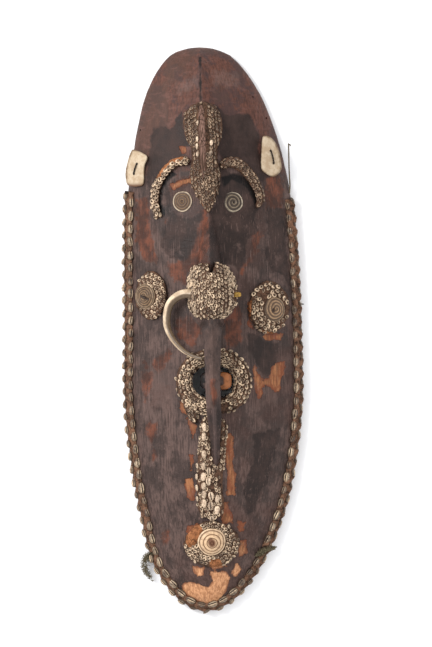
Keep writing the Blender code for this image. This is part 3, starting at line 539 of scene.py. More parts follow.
class Finish:
    """A material whose nodes are added one by one, in metres of the piece itself."""

    def __init__(self, name):
        self.material = bpy.data.materials.new(name)
        self.material.use_nodes = True
        self.nodes = self.material.node_tree.nodes
        self.links = self.material.node_tree.links
        self.shader = self.nodes["Principled BSDF"]
        self.coordinates = self.nodes.new("ShaderNodeTexCoord").outputs["Object"]

    def feed(self, socket, value):
        if isinstance(value, bpy.types.NodeSocket):
            self.links.new(value, socket)
        elif hasattr(value, "__len__") and len(value) == 3 and socket.type == "RGBA":
            socket.default_value = (*value, 1)
        else:
            socket.default_value = value

    def add(self, kind, inputs, **settings):
        node = self.nodes.new(kind)
        for key, value in settings.items():
            setattr(node, key, value)
        for key, value in inputs.items():
            self.feed(node.inputs[key], value)
        return node

    def stretched(self, scale):
        return self.add("ShaderNodeMapping", {"Vector": self.coordinates, "Scale": scale}).outputs["Vector"]

    def noise(self, scale, detail=4.0, roughness=0.55, stretch=None, distortion=0.0):
        vector = self.stretched(stretch) if stretch else self.coordinates
        inputs = {
            "Vector": vector, "Scale": scale, "Detail": detail, "Roughness": roughness,
            "Distortion": distortion,
        }
        return self.add("ShaderNodeTexNoise", inputs).outputs["Fac"]

    def cells(self, scale, stretch=None, feature="F1"):
        vector = self.stretched(stretch) if stretch else self.coordinates
        return self.add(
            "ShaderNodeTexVoronoi", {"Vector": vector, "Scale": scale}, feature=feature
        ).outputs["Distance"]

    def value(self, name):
        return self.add("ShaderNodeAttribute", {}, attribute_name=name).outputs["Fac"]

    def between(self, value, low, high, to_low=0.0, to_high=1.0):
        inputs = {"Value": value, "From Min": low, "From Max": high, "To Min": to_low, "To Max": to_high}
        return self.add("ShaderNodeMapRange", inputs, interpolation_type="SMOOTHSTEP").outputs["Result"]

    def maths(self, operation, first, second=0.0):
        node = self.nodes.new("ShaderNodeMath")
        node.operation = operation
        self.feed(node.inputs[0], first)
        self.feed(node.inputs[1], second)
        return node.outputs[0]

    def mix(self, factor, first, second, blend="MIX"):
        node = self.nodes.new("ShaderNodeMix")
        node.data_type = "RGBA"
        node.blend_type = blend
        self.feed(node.inputs[0], factor)
        self.feed(node.inputs[6], first)
        self.feed(node.inputs[7], second)
        return node.outputs[2]

    def ragged(self, name, scale=160.0, reach=0.55, sharpness=0.06):
        """A patch stored in the mesh, with an edge broken up by noise."""
        rough = self.noise(scale, 6.0, 0.62)
        broad = self.noise(scale / 5, 3.0, 0.5)
        spread = self.maths(
            "ADD", self.maths("MULTIPLY", rough, reach), self.maths("MULTIPLY", broad, reach)
        )
        level = self.maths("ADD", self.value(name), self.maths("SUBTRACT", spread, reach))
        return self.between(level, 0.5 - sharpness, 0.5 + sharpness)

    def done(self, colour, roughness, heights=(), specular=0.14):
        """heights holds (value, distance in metres) of the relief."""
        self.feed(self.shader.inputs["Base Color"], colour)
        self.feed(self.shader.inputs["Roughness"], roughness)
        self.feed(self.shader.inputs["Specular IOR Level"], specular)
        normal = None
        for height, distance in heights:
            node = self.nodes.new("ShaderNodeBump")
            self.feed(node.inputs["Height"], height)
            self.feed(node.inputs["Distance"], distance)
            self.feed(node.inputs["Strength"], 1.0)
            if normal is not None:
                self.feed(node.inputs["Normal"], normal)
            normal = node.outputs["Normal"]
        if normal is not None:
            self.feed(self.shader.inputs["Normal"], normal)
        return self.material


def seen(*colour):
    """The light that a colour gives back under the bright lamps, from how it is seen on a screen."""
    return tuple((c / 12.92 if c <= 0.04045 else ((c + 0.055) / 1.055) ** 2.4) / BRIGHTNESS for c in colour)


def toned(colour, factor, warmth=0.0):
    """A colour made lighter or darker, and warmer."""
    r, g, b = colour
    return seen(
        *(min(max(c, 0), 1) for c in (r * factor * (1 + warmth), g * factor, b * factor * (1 - warmth)))
    )


def wood_finish(colours):
    look = Finish("painted wood")
    grain = look.noise(60.0, 8.0, 0.68, (6, 0.45, 6), 0.4)
    fine = look.noise(420.0, 7.0, 0.68)
    mottle = look.noise(30.0, 8.0, 0.66, (1.2, 0.9, 1.2))
    broad = look.noise(9.0, 5.0, 0.6)
    streaks = look.noise(150.0, 6.0, 0.66, (3, 0.22, 3))
    cuts = look.noise(95.0, 5.0, 0.6, (0.35, 1.6, 1))
    red_wood, grey_paint = colours.red_wood, colours.grey_paint
    black_paint, bare_wood = colours.black_paint, colours.bare_wood

    red = look.mix(look.between(grain, 0.3, 0.7), toned(red_wood, 0.68, 0.03), toned(red_wood, 1.05, 0.05))
    red = look.mix(look.between(mottle, 0.47, 0.56, 0, 0.7), red, toned(red_wood, 0.8, -0.13))
    red = look.mix(look.between(broad, 0.48, 0.56, 0, 0.6), red, toned(grey_paint, 0.84, 0.07))
    red = look.mix(look.between(cuts, 0.52, 0.66, 0, 0.4), red, toned(red_wood, 1.22, -0.03))
    red = look.mix(look.between(fine, 0.6, 0.7, 0, 0.4), red, toned(red_wood, 0.6))

    grey = look.mix(look.between(mottle, 0.42, 0.58), toned(grey_paint, 0.76), toned(grey_paint, 1.12))
    grey = look.mix(look.between(streaks, 0.47, 0.58, 0, 0.65), grey, toned(grey_paint, 0.56))
    grey = look.mix(look.between(broad, 0.5, 0.62, 0, 0.45), grey, toned(red_wood, 0.72, 0.02))
    grey = look.mix(look.between(fine, 0.6, 0.72, 0, 0.5), grey, toned(grey_paint, 1.55))
    surface = look.mix(look.ragged("painted", 70.0, 0.9, 0.14), red, grey)

    beam = look.mix(
        look.between(mottle, 0.4, 0.6), toned(grey_paint, 0.6, 0.0), toned(grey_paint, 0.96, 0.02)
    )
    surface = look.mix(look.maths("MULTIPLY", look.value("bar"), 0.85), surface, beam)
    warm = look.mix(look.between(mottle, 0.42, 0.6), toned(red_wood, 0.66, 0.1), toned(red_wood, 1.0, 0.17))
    warm = look.mix(look.between(streaks, 0.5, 0.64, 0, 0.7), warm, toned(grey_paint, 0.66, 0.05))
    reddened = look.ragged("red", 110.0, 1.3, 0.16)
    surface = look.mix(look.maths("MULTIPLY", reddened, 0.9), surface, warm)
    scuffs = look.maths(
        "MULTIPLY", look.ragged("scuffed", 110.0, 1.3, 0.25), look.between(streaks, 0.35, 0.6, 0.1, 0.45)
    )
    surface = look.mix(scuffs, surface, toned(grey_paint, 1.3))
    # Black paint; on the right face of the nose's bridge this black is painted shade.
    black = look.mix(look.between(mottle, 0.38, 0.66), toned(black_paint, 0.85), toned(black_paint, 1.3))
    black = look.mix(look.between(fine, 0.62, 0.74, 0, 0.45), black, toned(grey_paint, 1.2))
    surface = look.mix(look.maths("MULTIPLY", look.ragged("black", 80.0, 1.25, 0.17), 0.94), surface, black)
    surface = look.mix(
        look.maths("MULTIPLY", look.value("edge"), 0.45), surface, toned(grey_paint, 1.25, -0.03)
    )
    # Painted shade: near-black under the brows and along the keel.
    surface = look.mix(look.ragged("deep", 120.0, 0.8, 0.25), surface, toned(black_paint, 0.42))

    specks = look.between(look.noise(130.0, 7.0, 0.72), 0.685, 0.72)
    specks = look.maths("MULTIPLY", specks, look.value("painted"))
    surface = look.mix(look.maths("MULTIPLY", specks, 0.75), surface, toned(bare_wood, 0.72, 0.1))
    bare = look.mix(look.between(grain, 0.4, 0.6), toned(bare_wood, 0.56, 0.1), toned(bare_wood, 0.84, 0.05))
    ochre = look.mix(look.between(grain, 0.4, 0.6), toned(bare_wood, 0.94), toned(bare_wood, 1.24, -0.05))
    bare = look.mix(look.between(mottle, 0.46, 0.58, 0, 0.8), bare, toned(red_wood, 1.0, 0.24))
    bare = look.mix(look.value("ochre"), bare, ochre)
    chipped = look.ragged("bare", 170.0, 1.0, 0.05)
    stained = look.between(look.noise(240.0, 7.0, 0.7), 0.52, 0.66, 0, 0.4)
    bare = look.mix(stained, bare, toned(bare_wood, 0.5, 0.12))
    edges = look.between(look.value("bare"), 0.5, 0.85, 0.75, 0.0)
    bare = look.mix(edges, bare, toned(red_wood, 0.95, 0.2))
    surface = look.mix(chipped, surface, bare)
    # Painted shade: the walls of the mouth's opening near-black, as the hollow behind it is dark.
    surface = look.mix(
        look.between(look.value("mouth"), 0.3, 0.9, 0, 0.95), surface, toned(black_paint, 0.35, -0.05)
    )
    tongue = look.mix(
        look.between(mottle, 0.4, 0.6), toned(bare_wood, 0.74, 0.12), toned(bare_wood, 0.44, 0.12)
    )
    tongue = look.mix(stained, tongue, toned(bare_wood, 0.4, 0.16))
    surface = look.mix(look.between(look.value("tongue"), 0.4, 0.8), surface, tongue)

    scratches = look.between(look.noise(230.0, 4.0, 0.6, (3, 0.1, 3)), 0.6, 0.68, 0, 0.42)
    scratches = look.maths("MULTIPLY", scratches, look.value("painted"))
    surface = look.mix(scratches, surface, toned(grey_paint, 1.5))
    pits = look.between(look.noise(520.0, 3.0, 0.6, (1.6, 0.7, 1.6)), 0.66, 0.72, 0, 0.6)
    surface = look.mix(pits, surface, toned(black_paint, 0.5))
    dust = look.between(look.noise(35.0, 9.0, 0.75), 0.55, 0.7, 0, 0.3)
    surface = look.mix(look.maths("MULTIPLY", dust, look.value("painted")), surface, toned(grey_paint, 1.45))
    rough = look.between(mottle, 0.3, 0.7, 0.4, 0.6)
    depth = look.maths("MULTIPLY", look.maths("ADD", chipped, specks), -1.0)
    return look.done(
        surface, rough, ((fine, 0.0003), (grain, 0.0005), (cuts, 0.0008), (mottle, 0.0010), (depth, 0.0009))
    )


def back_finish(colours):
    look = Finish("raw wood of the hollow")
    grain = look.noise(50.0, 8.0, 0.6, (5, 0.4, 5), 0.5)
    mottle = look.noise(22.0, 5.0, 0.6)
    colour = look.mix(grain, toned(colours.red_wood, 0.85, 0.05), toned(colours.bare_wood, 0.72))
    colour = look.mix(look.between(mottle, 0.4, 0.7, 0, 0.8), colour, toned(colours.red_wood, 0.6))
    return look.done(colour, 0.8, ((grain, 0.0005), (mottle, 0.0008)))


def clay_finish(colours, name="dark clay", bright=1.0):
    look = Finish(name)
    clay = colours.clay
    lumps = look.noise(170.0, 7.0, 0.7)
    broad = look.noise(45.0, 5.0, 0.6)
    fine = look.noise(700.0, 5.0, 0.65)
    colour = look.mix(
        look.between(lumps, 0.36, 0.64), toned(clay, 0.52 * bright), toned(clay, 1.25 * bright)
    )
    colour = look.mix(look.between(broad, 0.45, 0.7, 0, 0.6), colour, toned(clay, 1.4 * bright, 0.02))
    colour = look.mix(look.between(fine, 0.58, 0.7, 0, 0.6), colour, toned(clay, 1.8 * bright))
    raw = look.mix(
        look.between(lumps, 0.38, 0.62), toned(colours.bare_wood, 0.56, 0.1),
        toned(colours.bare_wood, 0.88, 0.06),
    )
    colour = look.mix(look.ragged("bare", 150.0, 0.6, 0.08), colour, raw)
    stripes = look.noise(260.0, 4.0, 0.6, (3, 0.1, 3))
    smooth = look.mix(
        look.between(stripes, 0.42, 0.58), toned(clay, 0.9), toned(colours.grey_paint, 1.5, 0.04)
    )
    colour = look.mix(look.between(look.value("strip"), 0.4, 0.8), colour, smooth)
    dark_lines = look.between(look.cells(95.0, feature="DISTANCE_TO_EDGE"), 0.0, 0.035, 1, 0)
    dark_lines = look.maths("MULTIPLY", dark_lines, look.between(broad, 0.48, 0.56))
    colour = look.mix(look.maths("MULTIPLY", dark_lines, 0.8), colour, toned(clay, 0.25))
    return look.done(
        colour, 0.8, ((fine, 0.0004), (lumps, 0.0014), (look.maths("MULTIPLY", dark_lines, -1.0), 0.0006)), 0.1
    )


def set_shell_finish(name, colours, dark, pale, dirt):
    """Shell with a dark hollow where the stored value pale is low, each in its own tone."""
    look = Finish(name)
    clay = colours.clay
    tone = look.value("tone")
    mottle = look.noise(420.0, 6.0, 0.7)
    dirty = look.noise(85.0, 5.0, 0.65)
    shell = look.mix(tone, toned(colours.shell, dark, 0.14 * dirt), toned(colours.shell, pale, 0.1 * dirt))
    shell = look.mix(look.between(mottle, 0.46, 0.62, 0, 0.75), shell, toned(clay, 1.3, 0.06))
    shell = look.mix(
        look.between(dirty, 0.56 - dirt * 0.2, 0.72 - dirt * 0.25, 0, 0.85), shell, toned(clay, 1.0)
    )
    colour = look.mix(look.between(look.value("pale"), 0.22, 0.78), toned(clay, 0.56), shell)
    return look.done(colour, 0.42, ((mottle, 0.0003),), 0.3)


def disc_finish(name, outer, inner, groove, streak):
    """Ground shell with a spiral groove; outer and inner are its colours at the edge and in the middle."""
    look = Finish(name)
    share = look.value("share")
    mottle = look.noise(190.0, 7.0, 0.7)
    fine = look.noise(900.0, 4.0, 0.65)
    colour = look.mix(look.between(share, 0.72, 0.9), inner, outer)
    colour = look.mix(look.between(mottle, 0.45, 0.62, 0, streak), colour, groove)
    colour = look.mix(look.between(fine, 0.55, 0.72, 0, 0.35), colour, groove)
    colour = look.mix(look.maths("MULTIPLY", look.value("groove"), 0.95), colour, groove)
    return look.done(colour, 0.42, ((fine, 0.00015), (mottle, 0.0004)), 0.25)


def ivory_finish(colours):
    look = Finish("ivory")
    ivory = colours.ivory
    streaks = look.noise(380.0, 5.0, 0.6, (1, 1, 0.3))
    mottle = look.noise(60.0, 5.0, 0.6)
    colour = look.mix(look.between(mottle, 0.35, 0.7), toned(ivory, 0.74, 0.05), toned(ivory, 1.06))
    # Darker towards the inside of the curve and the tip: partly the tusk's own browner ivory, partly painted
    # shade.
    inner = look.between(look.value("inner"), 0.4, 0.62)
    colour = look.mix(look.maths("MULTIPLY", inner, 0.95), colour, toned(ivory, 0.38, 0.12))
    worn = look.maths(
        "MULTIPLY", look.between(look.noise(130.0, 6.0, 0.7), 0.46, 0.6), look.between(inner, 0.0, 0.5)
    )
    colour = look.mix(look.maths("MULTIPLY", worn, 0.6), colour, toned(ivory, 0.36, 0.12))
    # Painted shade along the tusk's groove.
    dark_lines = look.between(look.value("crack"), 0.55, 0.9)
    colour = look.mix(look.maths("MULTIPLY", dark_lines, 0.85), colour, toned(ivory, 0.3, 0.1))
    colour = look.mix(look.between(streaks, 0.55, 0.72, 0, 0.35), colour, toned(ivory, 0.68, 0.05))
    return look.done(colour, 0.35, ((streaks, 0.00015),), 0.35)


def plaque_finish(colours):
    look = Finish("cut shell")
    ivory = colours.ivory
    mottle = look.noise(90.0, 6.0, 0.65)
    fine = look.noise(600.0, 4.0, 0.6)
    colour = look.mix(look.between(mottle, 0.4, 0.6), toned(ivory, 0.88), toned(ivory, 0.76, 0.04))
    spots = look.between(look.noise(260.0, 6.0, 0.7), 0.56, 0.66, 0, 0.6)
    colour = look.mix(spots, colour, toned(ivory, 0.62, 0.1))
    rim = look.between(look.value("rim"), 0.35, 1.0)
    rim = look.maths("MULTIPLY", rim, look.between(mottle, 0.3, 0.6, 0.35, 1.0))
    colour = look.mix(look.maths("MULTIPLY", rim, 0.95), colour, toned(ivory, 0.4, 0.14))
    stain = look.between(look.value("stain"), 0.3, 0.9)
    colour = look.mix(look.maths("MULTIPLY", stain, 0.9), colour, toned(colours.clay, 1.25, 0.05))
    return look.done(colour, 0.5, ((fine, 0.00015), (mottle, 0.0005)))


def fibre_finish(name, dark, pale):
    look = Finish(name)
    strands = look.noise(500.0, 4.0, 0.7)
    colour = look.mix(look.between(strands, 0.3, 0.7), dark, pale)
    return look.done(colour, 0.9, ((strands, 0.0004),), 0.2)


def peg_finish():
    look = Finish("yellow peg")
    mottle = look.noise(300.0, 5.0, 0.6)
    colour = look.mix(look.between(mottle, 0.35, 0.65), seen(0.78, 0.62, 0.3), seen(0.5, 0.36, 0.2))
    return look.done(colour, 0.6, ((mottle, 0.0004),))


class Tree:
    """A geometry node tree that grows one node at a time."""

    def __init__(self, name, inputs):
        self.group = bpy.data.node_groups.new(name, "GeometryNodeTree")
        face = self.group.interface
        face.new_socket(name="Geometry", in_out="INPUT", socket_type="NodeSocketGeometry")
        face.new_socket(name="Geometry", in_out="OUTPUT", socket_type="NodeSocketGeometry")
        self.names = {}
        for label, kind, default in inputs:
            socket = face.new_socket(name=label, in_out="INPUT", socket_type=f"NodeSocket{kind}")
            if default is not None:
                socket.default_value = default
            self.names[label] = socket.identifier
        self.entry = self.group.nodes.new("NodeGroupInput").outputs
        self.exit = self.group.nodes.new("NodeGroupOutput").inputs

    def add(self, kind, inputs, **settings):
        node = self.group.nodes.new(kind)
        for key, value in settings.items():
            setattr(node, key, value)
        for key, value in inputs.items():
            socket = node.inputs[key]
            if isinstance(value, bpy.types.NodeSocket):
                self.group.links.new(value, socket)
            else:
                socket.default_value = value
        return node

    def read(self, name, kind="FLOAT"):
        """What the points store under a name."""
        return self.add("GeometryNodeInputNamedAttribute", {"Name": name}, data_type=kind).outputs[0]

    def maths(self, operation, first, second):
        return self.add("ShaderNodeMath", {0: first, 1: second}, operation=operation).outputs[0]

    def dice(self, low, high, seed):
        """A number between low and high, another for each piece."""
        value = self.add("FunctionNodeRandomValue", {"Seed": seed}, data_type="FLOAT")
        self.group.links.new(low, value.inputs[2])
        self.group.links.new(high, value.inputs[3])
        return value.outputs[1]

    def run(self, obj, values):
        """The plain mesh that the tree makes of obj, in an object in its place."""
        modifier = obj.modifiers.new(self.group.name, "NODES")
        modifier.node_group = self.group
        for label, value in values.items():
            modifier[self.names[label]] = value
        obj.update_tag()
        bpy.context.view_layer.update()
        return baked(obj)


def setting_tree():
    """Shoots each point along its aim at the carrier and sets a piece there, turned along the surface."""
    made = Tree("set on the surface", (
        ("Carrier", "Object", None), ("Piece", "Object", None), ("Length", "Float", 0.01),
        ("Lift", "Float", 0.0), ("Size spread", "Float", 0.15), ("Lean", "Float", 0.2),
        ("Spin", "Float", 0.4), ("Seed", "Int", 0), ("Finish", "Material", None),
    ))
    entry = made.entry
    carrier = made.add("GeometryNodeObjectInfo", {"Object": entry["Carrier"]})
    piece = made.add("GeometryNodeObjectInfo", {"Object": entry["Piece"]})
    aim = made.read("aim", "FLOAT_VECTOR")
    ray = made.add(
        "GeometryNodeRaycast",
        {"Target Geometry": carrier.outputs["Geometry"], "Ray Direction": aim, "Ray Length": 1.0},
    )
    stored = made.add(
        "GeometryNodeStoreNamedAttribute",
        {"Geometry": entry["Geometry"], "Name": "facing", "Value": ray.outputs["Hit Normal"]},
        data_type="FLOAT_VECTOR",
    )
    stored = made.add(
        "GeometryNodeStoreNamedAttribute",
        {"Geometry": stored.outputs[0], "Name": "landed", "Value": ray.outputs["Is Hit"]},
        data_type="BOOLEAN",
    )
    out = made.add(
        "ShaderNodeVectorMath", {0: ray.outputs["Hit Normal"], "Scale": entry["Lift"]}, operation="SCALE"
    )
    spot = made.add(
        "ShaderNodeVectorMath", {0: ray.outputs["Hit Position"], 1: out.outputs[0]}, operation="ADD"
    )
    moved = made.add("GeometryNodeSetPosition", {"Geometry": stored.outputs[0], "Position": spot.outputs[0]})
    landed = made.read("landed", "BOOLEAN")
    missed = made.add("FunctionNodeBooleanMath", {0: landed}, operation="NOT")
    kept = made.add(
        "GeometryNodeDeleteGeometry", {"Geometry": moved.outputs[0], "Selection": missed.outputs[0]}
    )
    facing = made.read("facing", "FLOAT_VECTOR")
    along = made.read("along", "FLOAT_VECTOR")
    turn = made.add(
        "FunctionNodeAxesToRotation", {"Primary Axis": facing, "Secondary Axis": along},
        primary_axis="Z", secondary_axis="X",
    )
    jitter = []
    for k, reach in enumerate((entry["Lean"], entry["Lean"], entry["Spin"])):
        low = made.maths("MULTIPLY", reach, -1.0)
        jitter.append(made.dice(low, reach, made.maths("ADD", entry["Seed"], 10.0 * (k + 1))))
    euler = made.add("ShaderNodeCombineXYZ", {0: jitter[0], 1: jitter[1], 2: jitter[2]})
    spun = made.add("FunctionNodeEulerToRotation", {0: euler.outputs[0]})
    turned = made.add(
        "FunctionNodeRotateRotation", {0: turn.outputs[0], 1: spun.outputs[0]}, rotation_space="LOCAL"
    )
    low = made.maths("SUBTRACT", 1.0, entry["Size spread"])
    high = made.maths("ADD", 1.0, entry["Size spread"])
    size = made.maths("MULTIPLY", made.dice(low, high, entry["Seed"]), entry["Length"])
    size = made.maths("MULTIPLY", size, made.read("size"))
    placed = made.add("GeometryNodeInstanceOnPoints", {
        "Points": kept.outputs[0], "Instance": piece.outputs["Geometry"], "Rotation": turned.outputs[0],
        "Scale": size,
    })
    tone = made.add("FunctionNodeRandomValue", {"Seed": entry["Seed"]}, data_type="FLOAT")
    toned_pieces = made.add(
        "GeometryNodeStoreNamedAttribute",
        {"Geometry": placed.outputs[0], "Name": "tone", "Value": tone.outputs[1]},
        data_type="FLOAT", domain="INSTANCE",
    )
    real = made.add("GeometryNodeRealizeInstances", {"Geometry": toned_pieces.outputs[0]})
    final = made.add("GeometryNodeSetMaterial", {"Geometry": real.outputs[0], "Material": entry["Finish"]})
    made.group.links.new(final.outputs[0], made.exit["Geometry"])
    return made


def strand_tree():
    """Gives each line of points a round body whose width is stored in the points."""
    made = Tree("strands", (("Sides", "Int", 5), ("Finish", "Material", None)))
    lines = made.add("GeometryNodeMeshToCurve", {"Mesh": made.entry["Geometry"]})
    width = made.read("width")
    sized = made.add("GeometryNodeSetCurveRadius", {"Curve": lines.outputs[0], "Radius": width})
    ring = made.add("GeometryNodeCurvePrimitiveCircle", {"Resolution": made.entry["Sides"], "Radius": 1.0})
    body = made.add(
        "GeometryNodeCurveToMesh",
        {"Curve": sized.outputs[0], "Profile Curve": ring.outputs[0], "Fill Caps": True},
    )
    if "Scale" in body.inputs:
        made.group.links.new(width, body.inputs["Scale"])
    smooth = made.add("GeometryNodeSetShadeSmooth", {"Geometry": body.outputs[0]})
    real = made.add("GeometryNodeRealizeInstances", {"Geometry": smooth.outputs[0]})
    final = made.add(
        "GeometryNodeSetMaterial", {"Geometry": real.outputs[0], "Material": made.entry["Finish"]}
    )
    made.group.links.new(final.outputs[0], made.exit["Geometry"])
    return made


def strands(name, lines, finish, sides=6):
    """Threads, twigs and fibres: each line is a list of (point, radius)."""
    points, edges, widths = [], [], []
    for line in lines:
        for k, (point, radius) in enumerate(line):
            if k:
                edges.append((len(points) - 1, len(points)))
            points.append(tuple(point))
            widths.append(radius)
    data = bpy.data.meshes.new(name)
    data.from_pydata(points, edges, [])
    made = bpy.data.objects.new(name, data)
    bpy.context.collection.objects.link(made)
    point_values(made, "width", widths)
    return strand_tree().run(made, {"Sides": sides, "Finish": finish})


def set_pieces(
    name, spots, carrier, piece, finish, length, lift=0.0, spread=0.14, lean=0.16, spin=0.35, seed=1
):
    """spots holds (point, aim, along, size) of each piece; the carrier is what they are set in."""
    data = bpy.data.meshes.new(name)
    data.from_pydata([tuple(spot[0]) for spot in spots], [], [])
    made = bpy.data.objects.new(name, data)
    bpy.context.collection.objects.link(made)
    for label, column in (("aim", 1), ("along", 2)):
        stored = data.attributes.new(label, "FLOAT_VECTOR", "POINT")
        stored.data.foreach_set("vector", [c for spot in spots for c in spot[column]])
    point_values(made, "size", [spot[3] for spot in spots])
    return setting_tree().run(made, {
        "Carrier": carrier, "Piece": piece, "Length": length, "Lift": lift, "Size spread": spread,
        "Lean": lean, "Spin": spin, "Seed": seed, "Finish": finish,
    })


DOWN = Vector((0, 0, -1))
SKY = 0.3


def from_above(form, grid_x, grid_y, along, size=1.0):
    return Vector((grid_x * form.ux, grid_y * form.uy, SKY)), DOWN, Vector((*along, 0)), size


def spine_spots(form, spine, pitch, row_pitch, seed, margin=0.0022, closed=False, keep=1.0, rows=None):
    """Staggered rows of places along a spine of (x, y, half width) on the grid."""
    dice = random.Random(seed)
    loop = spine + spine[:1] if closed else spine
    fine = [Vector((x * form.ux, y * form.uy, half * form.ux)) for x, y, half in smooth_path(loop, 160)]
    lengths = [0.0]
    for before, after in zip(fine, fine[1:]):
        lengths.append(lengths[-1] + (after.xy - before.xy).length)
    total = lengths[-1]
    found = []
    reach = max(point.z for point in fine)
    most = int(reach / row_pitch)
    for row in rows or range(-most, most + 1):
        steps = max(round(total / pitch), 2)
        for step in range(steps + 1):
            at = (step + (0.5 if row % 2 else 0.08)) * total / steps + dice.uniform(-0.12, 0.12) * pitch
            if at > total - pitch * 0.2 or dice.random() > keep:
                continue
            k = min(max(int(np.searchsorted(lengths, at)), 1), len(fine) - 2)
            along = (fine[k + 1].xy - fine[k - 1].xy).normalized()
            side = Vector((-along.y, along.x))
            off = row * row_pitch + dice.uniform(-0.1, 0.1) * row_pitch
            if abs(off) > fine[k].z - margin:
                continue
            spot = fine[k].xy + side * off
            found.append((Vector((*spot, SKY)), DOWN, Vector((*along, 0)), 1.0))
    return found


def round_spots(form, centre, inner, pad, pitch, row_pitch, seed, keep=1.0):
    """Rings of places round a disc, out to the edge of its pad."""
    dice = random.Random(seed)
    x, y, half_x, half_y = pad
    found = []
    radius = inner
    while radius < inner + 40 * MM:
        count = max(int(2 * math.pi * radius / pitch), 6)
        start = dice.uniform(0, 1)
        for k in range(count):
            angle = 2 * math.pi * (k + start) / count
            away = radius + dice.uniform(-0.1, 0.1) * row_pitch
            spot = Vector((
                centre[0] * form.ux + away * math.cos(angle), centre[1] * form.uy + away * math.sin(angle)
            ))
            off_x = (spot.x / form.ux - x) / (half_x - 1.5)
            off_y = (spot.y / form.uy - y) / (half_y - 1.5)
            if off_x**2 + off_y**2 < 1 and dice.random() < keep:
                found.append((
                    Vector((*spot, SKY)), DOWN, Vector((-math.sin(angle), math.cos(angle), 0)), 1.0
                ))
        radius += row_pitch
    return found


def flank_spots(form, pitch, seed):
    """Places on the steep sides of the nose's pad, clear of the tusk and the peg."""
    dice = random.Random(seed)
    found = []
    for side in (-1, 1):
        for row in range(5):
            for step in range(12):
                y = (14 + (step + 0.5 * (row % 2)) * 4.2) * form.uy + dice.uniform(-0.1, 0.1) * pitch
                base = float(form.height(-2 * form.ux, y))
                z = base + (10 + row * 7 + dice.uniform(-0.6, 0.6)) * MM
                if abs(y / form.uy - 35.4) < 7 and abs(z - base - form.sizes.tusk_lift) < 12 * MM:
                    continue
                found.append((
                    Vector((side * 0.08, y, z)), Vector((-side, 0, -0.1)).normalized(), Vector((0, 1, 0)),
                    1.0,
                ))
    return found


def set_ones(form, spots):
    """The spots without those where no shell is set."""
    if not spots:
        return spots
    co = np.array([spot[0] for spot in spots])
    empty = patch_values(form, co, NO_SHELLS, 0.01) > 0.5
    return [spot for spot, off in zip(spots, empty) if not off]


def nassa_shell():
    """A small shell ground open on its back, one long: an oval lip round a hollow."""
    around = 10
    rings = ((1, 0, 0.5), (0.94, 0.22, 0.8), (0.7, 0.3, 1), (0.42, 0.17, 0.7), (0.27, 0.03, 0.1))
    points, values = [], []
    for reach, height, pale in rings:
        for k in range(around):
            angle = 2 * math.pi * k / around
            end = 1 + 0.14 * math.cos(angle)
            points.append((
                0.5 * reach * math.cos(angle) * end, 0.37 * reach * math.sin(angle),
                height * (1 + 0.3 * math.cos(angle)),
            ))
            values.append(pale * min(max(0.82 + 0.36 * math.sin(angle + 0.9), 0.5), 1))
    faces = band_faces(len(rings), around)
    faces.append(tuple((len(rings) - 1) * around + k for k in range(around)))
    faces.append(tuple(reversed(range(around))))
    made = new_mesh_object("nassa", points, faces)
    point_values(made, "pale", values)
    return made


def cowrie_shell(kind):
    """A cowrie one long: with its smooth back up, its toothed slit up, or worn down round the slit."""
    rows = 9
    across = (-1, -0.82, -0.5, -0.26, -0.1, 0.1, 0.26, 0.5, 0.82, 1)
    points, values = [], []
    for i in range(rows):
        t = -math.cos(math.pi * i / (rows - 1))
        wide = math.sqrt(max(1 - abs(t) ** 2.4, 0)) * (1 + 0.1 * t)
        for s in across:
            arch = math.sqrt(max(1 - s * s, 0))
            height = 0.27 * arch * wide
            pale = 0.45 + 0.55 * arch
            if kind != "back":
                opened = max(1 - abs(t) ** 4, 0)
                if abs(s) < 0.2:
                    height -= 0.14 * opened
                    pale = 0.1
                elif abs(s) < 0.4:
                    pale = 1 if s < 0 or kind == "slit" else 0.66
                elif kind == "worn":
                    pale = 0.46 if s < 0 else 0.36
            points.append((0.5 * t, 0.32 * s * wide, height))
            values.append(pale)
    data = bpy.data.meshes.new("cowrie")
    data.from_pydata(points, [], band_faces(rows, len(across)))
    made = bpy.data.objects.new("cowrie", data)
    bpy.context.collection.objects.link(made)
    point_values(made, "pale", values)
    mesh = bmesh.new()
    mesh.from_mesh(data)
    bmesh.ops.remove_doubles(mesh, verts=mesh.verts, dist=0.001)
    bmesh.ops.recalc_face_normals(mesh, faces=mesh.faces)
    mesh.to_mesh(data)
    mesh.free()
    data.shade_smooth()
    return made


def inside_by(x, y, outline):
    """How far each place lies inside an outline, below zero outside it."""
    away = np.full(len(x), 1e9)
    inside = np.zeros(len(x), bool)
    for (x0, y0), (x1, y1) in zip(outline, outline[1:] + outline[:1]):
        step_x, step_y = x1 - x0, y1 - y0
        share = np.clip(((x - x0) * step_x + (y - y0) * step_y) / (step_x**2 + step_y**2), 0, 1)
        away = np.minimum(away, np.hypot(x - x0 - share * step_x, y - y0 - share * step_y))
        if y0 != y1:
            crosses = (y0 > y) != (y1 > y)
            inside ^= crosses & (x < x0 + (y - y0) * step_x / step_y)
    return np.where(inside, away, -away)


def patch_values(form, co, outlines, soft):
    """Near 1 well inside the outlines, 0.5 on them and 0 outside; soft is the width of the change."""
    x, y = co[:, 0] / form.ux, co[:, 1] / form.uy
    best = np.zeros(len(co))
    for outline in outlines:
        low_x, high_x = min(p[0] for p in outline) - soft, max(p[0] for p in outline) + soft
        low_y, high_y = min(p[1] for p in outline) - soft, max(p[1] for p in outline) + soft
        near = (x > low_x) & (x < high_x) & (y > low_y) & (y < high_y)
        if near.any():
            value = np.clip(0.5 + inside_by(x[near], y[near], outline) / soft, 0, 1)
            best[near] = np.maximum(best[near], value)
    return best


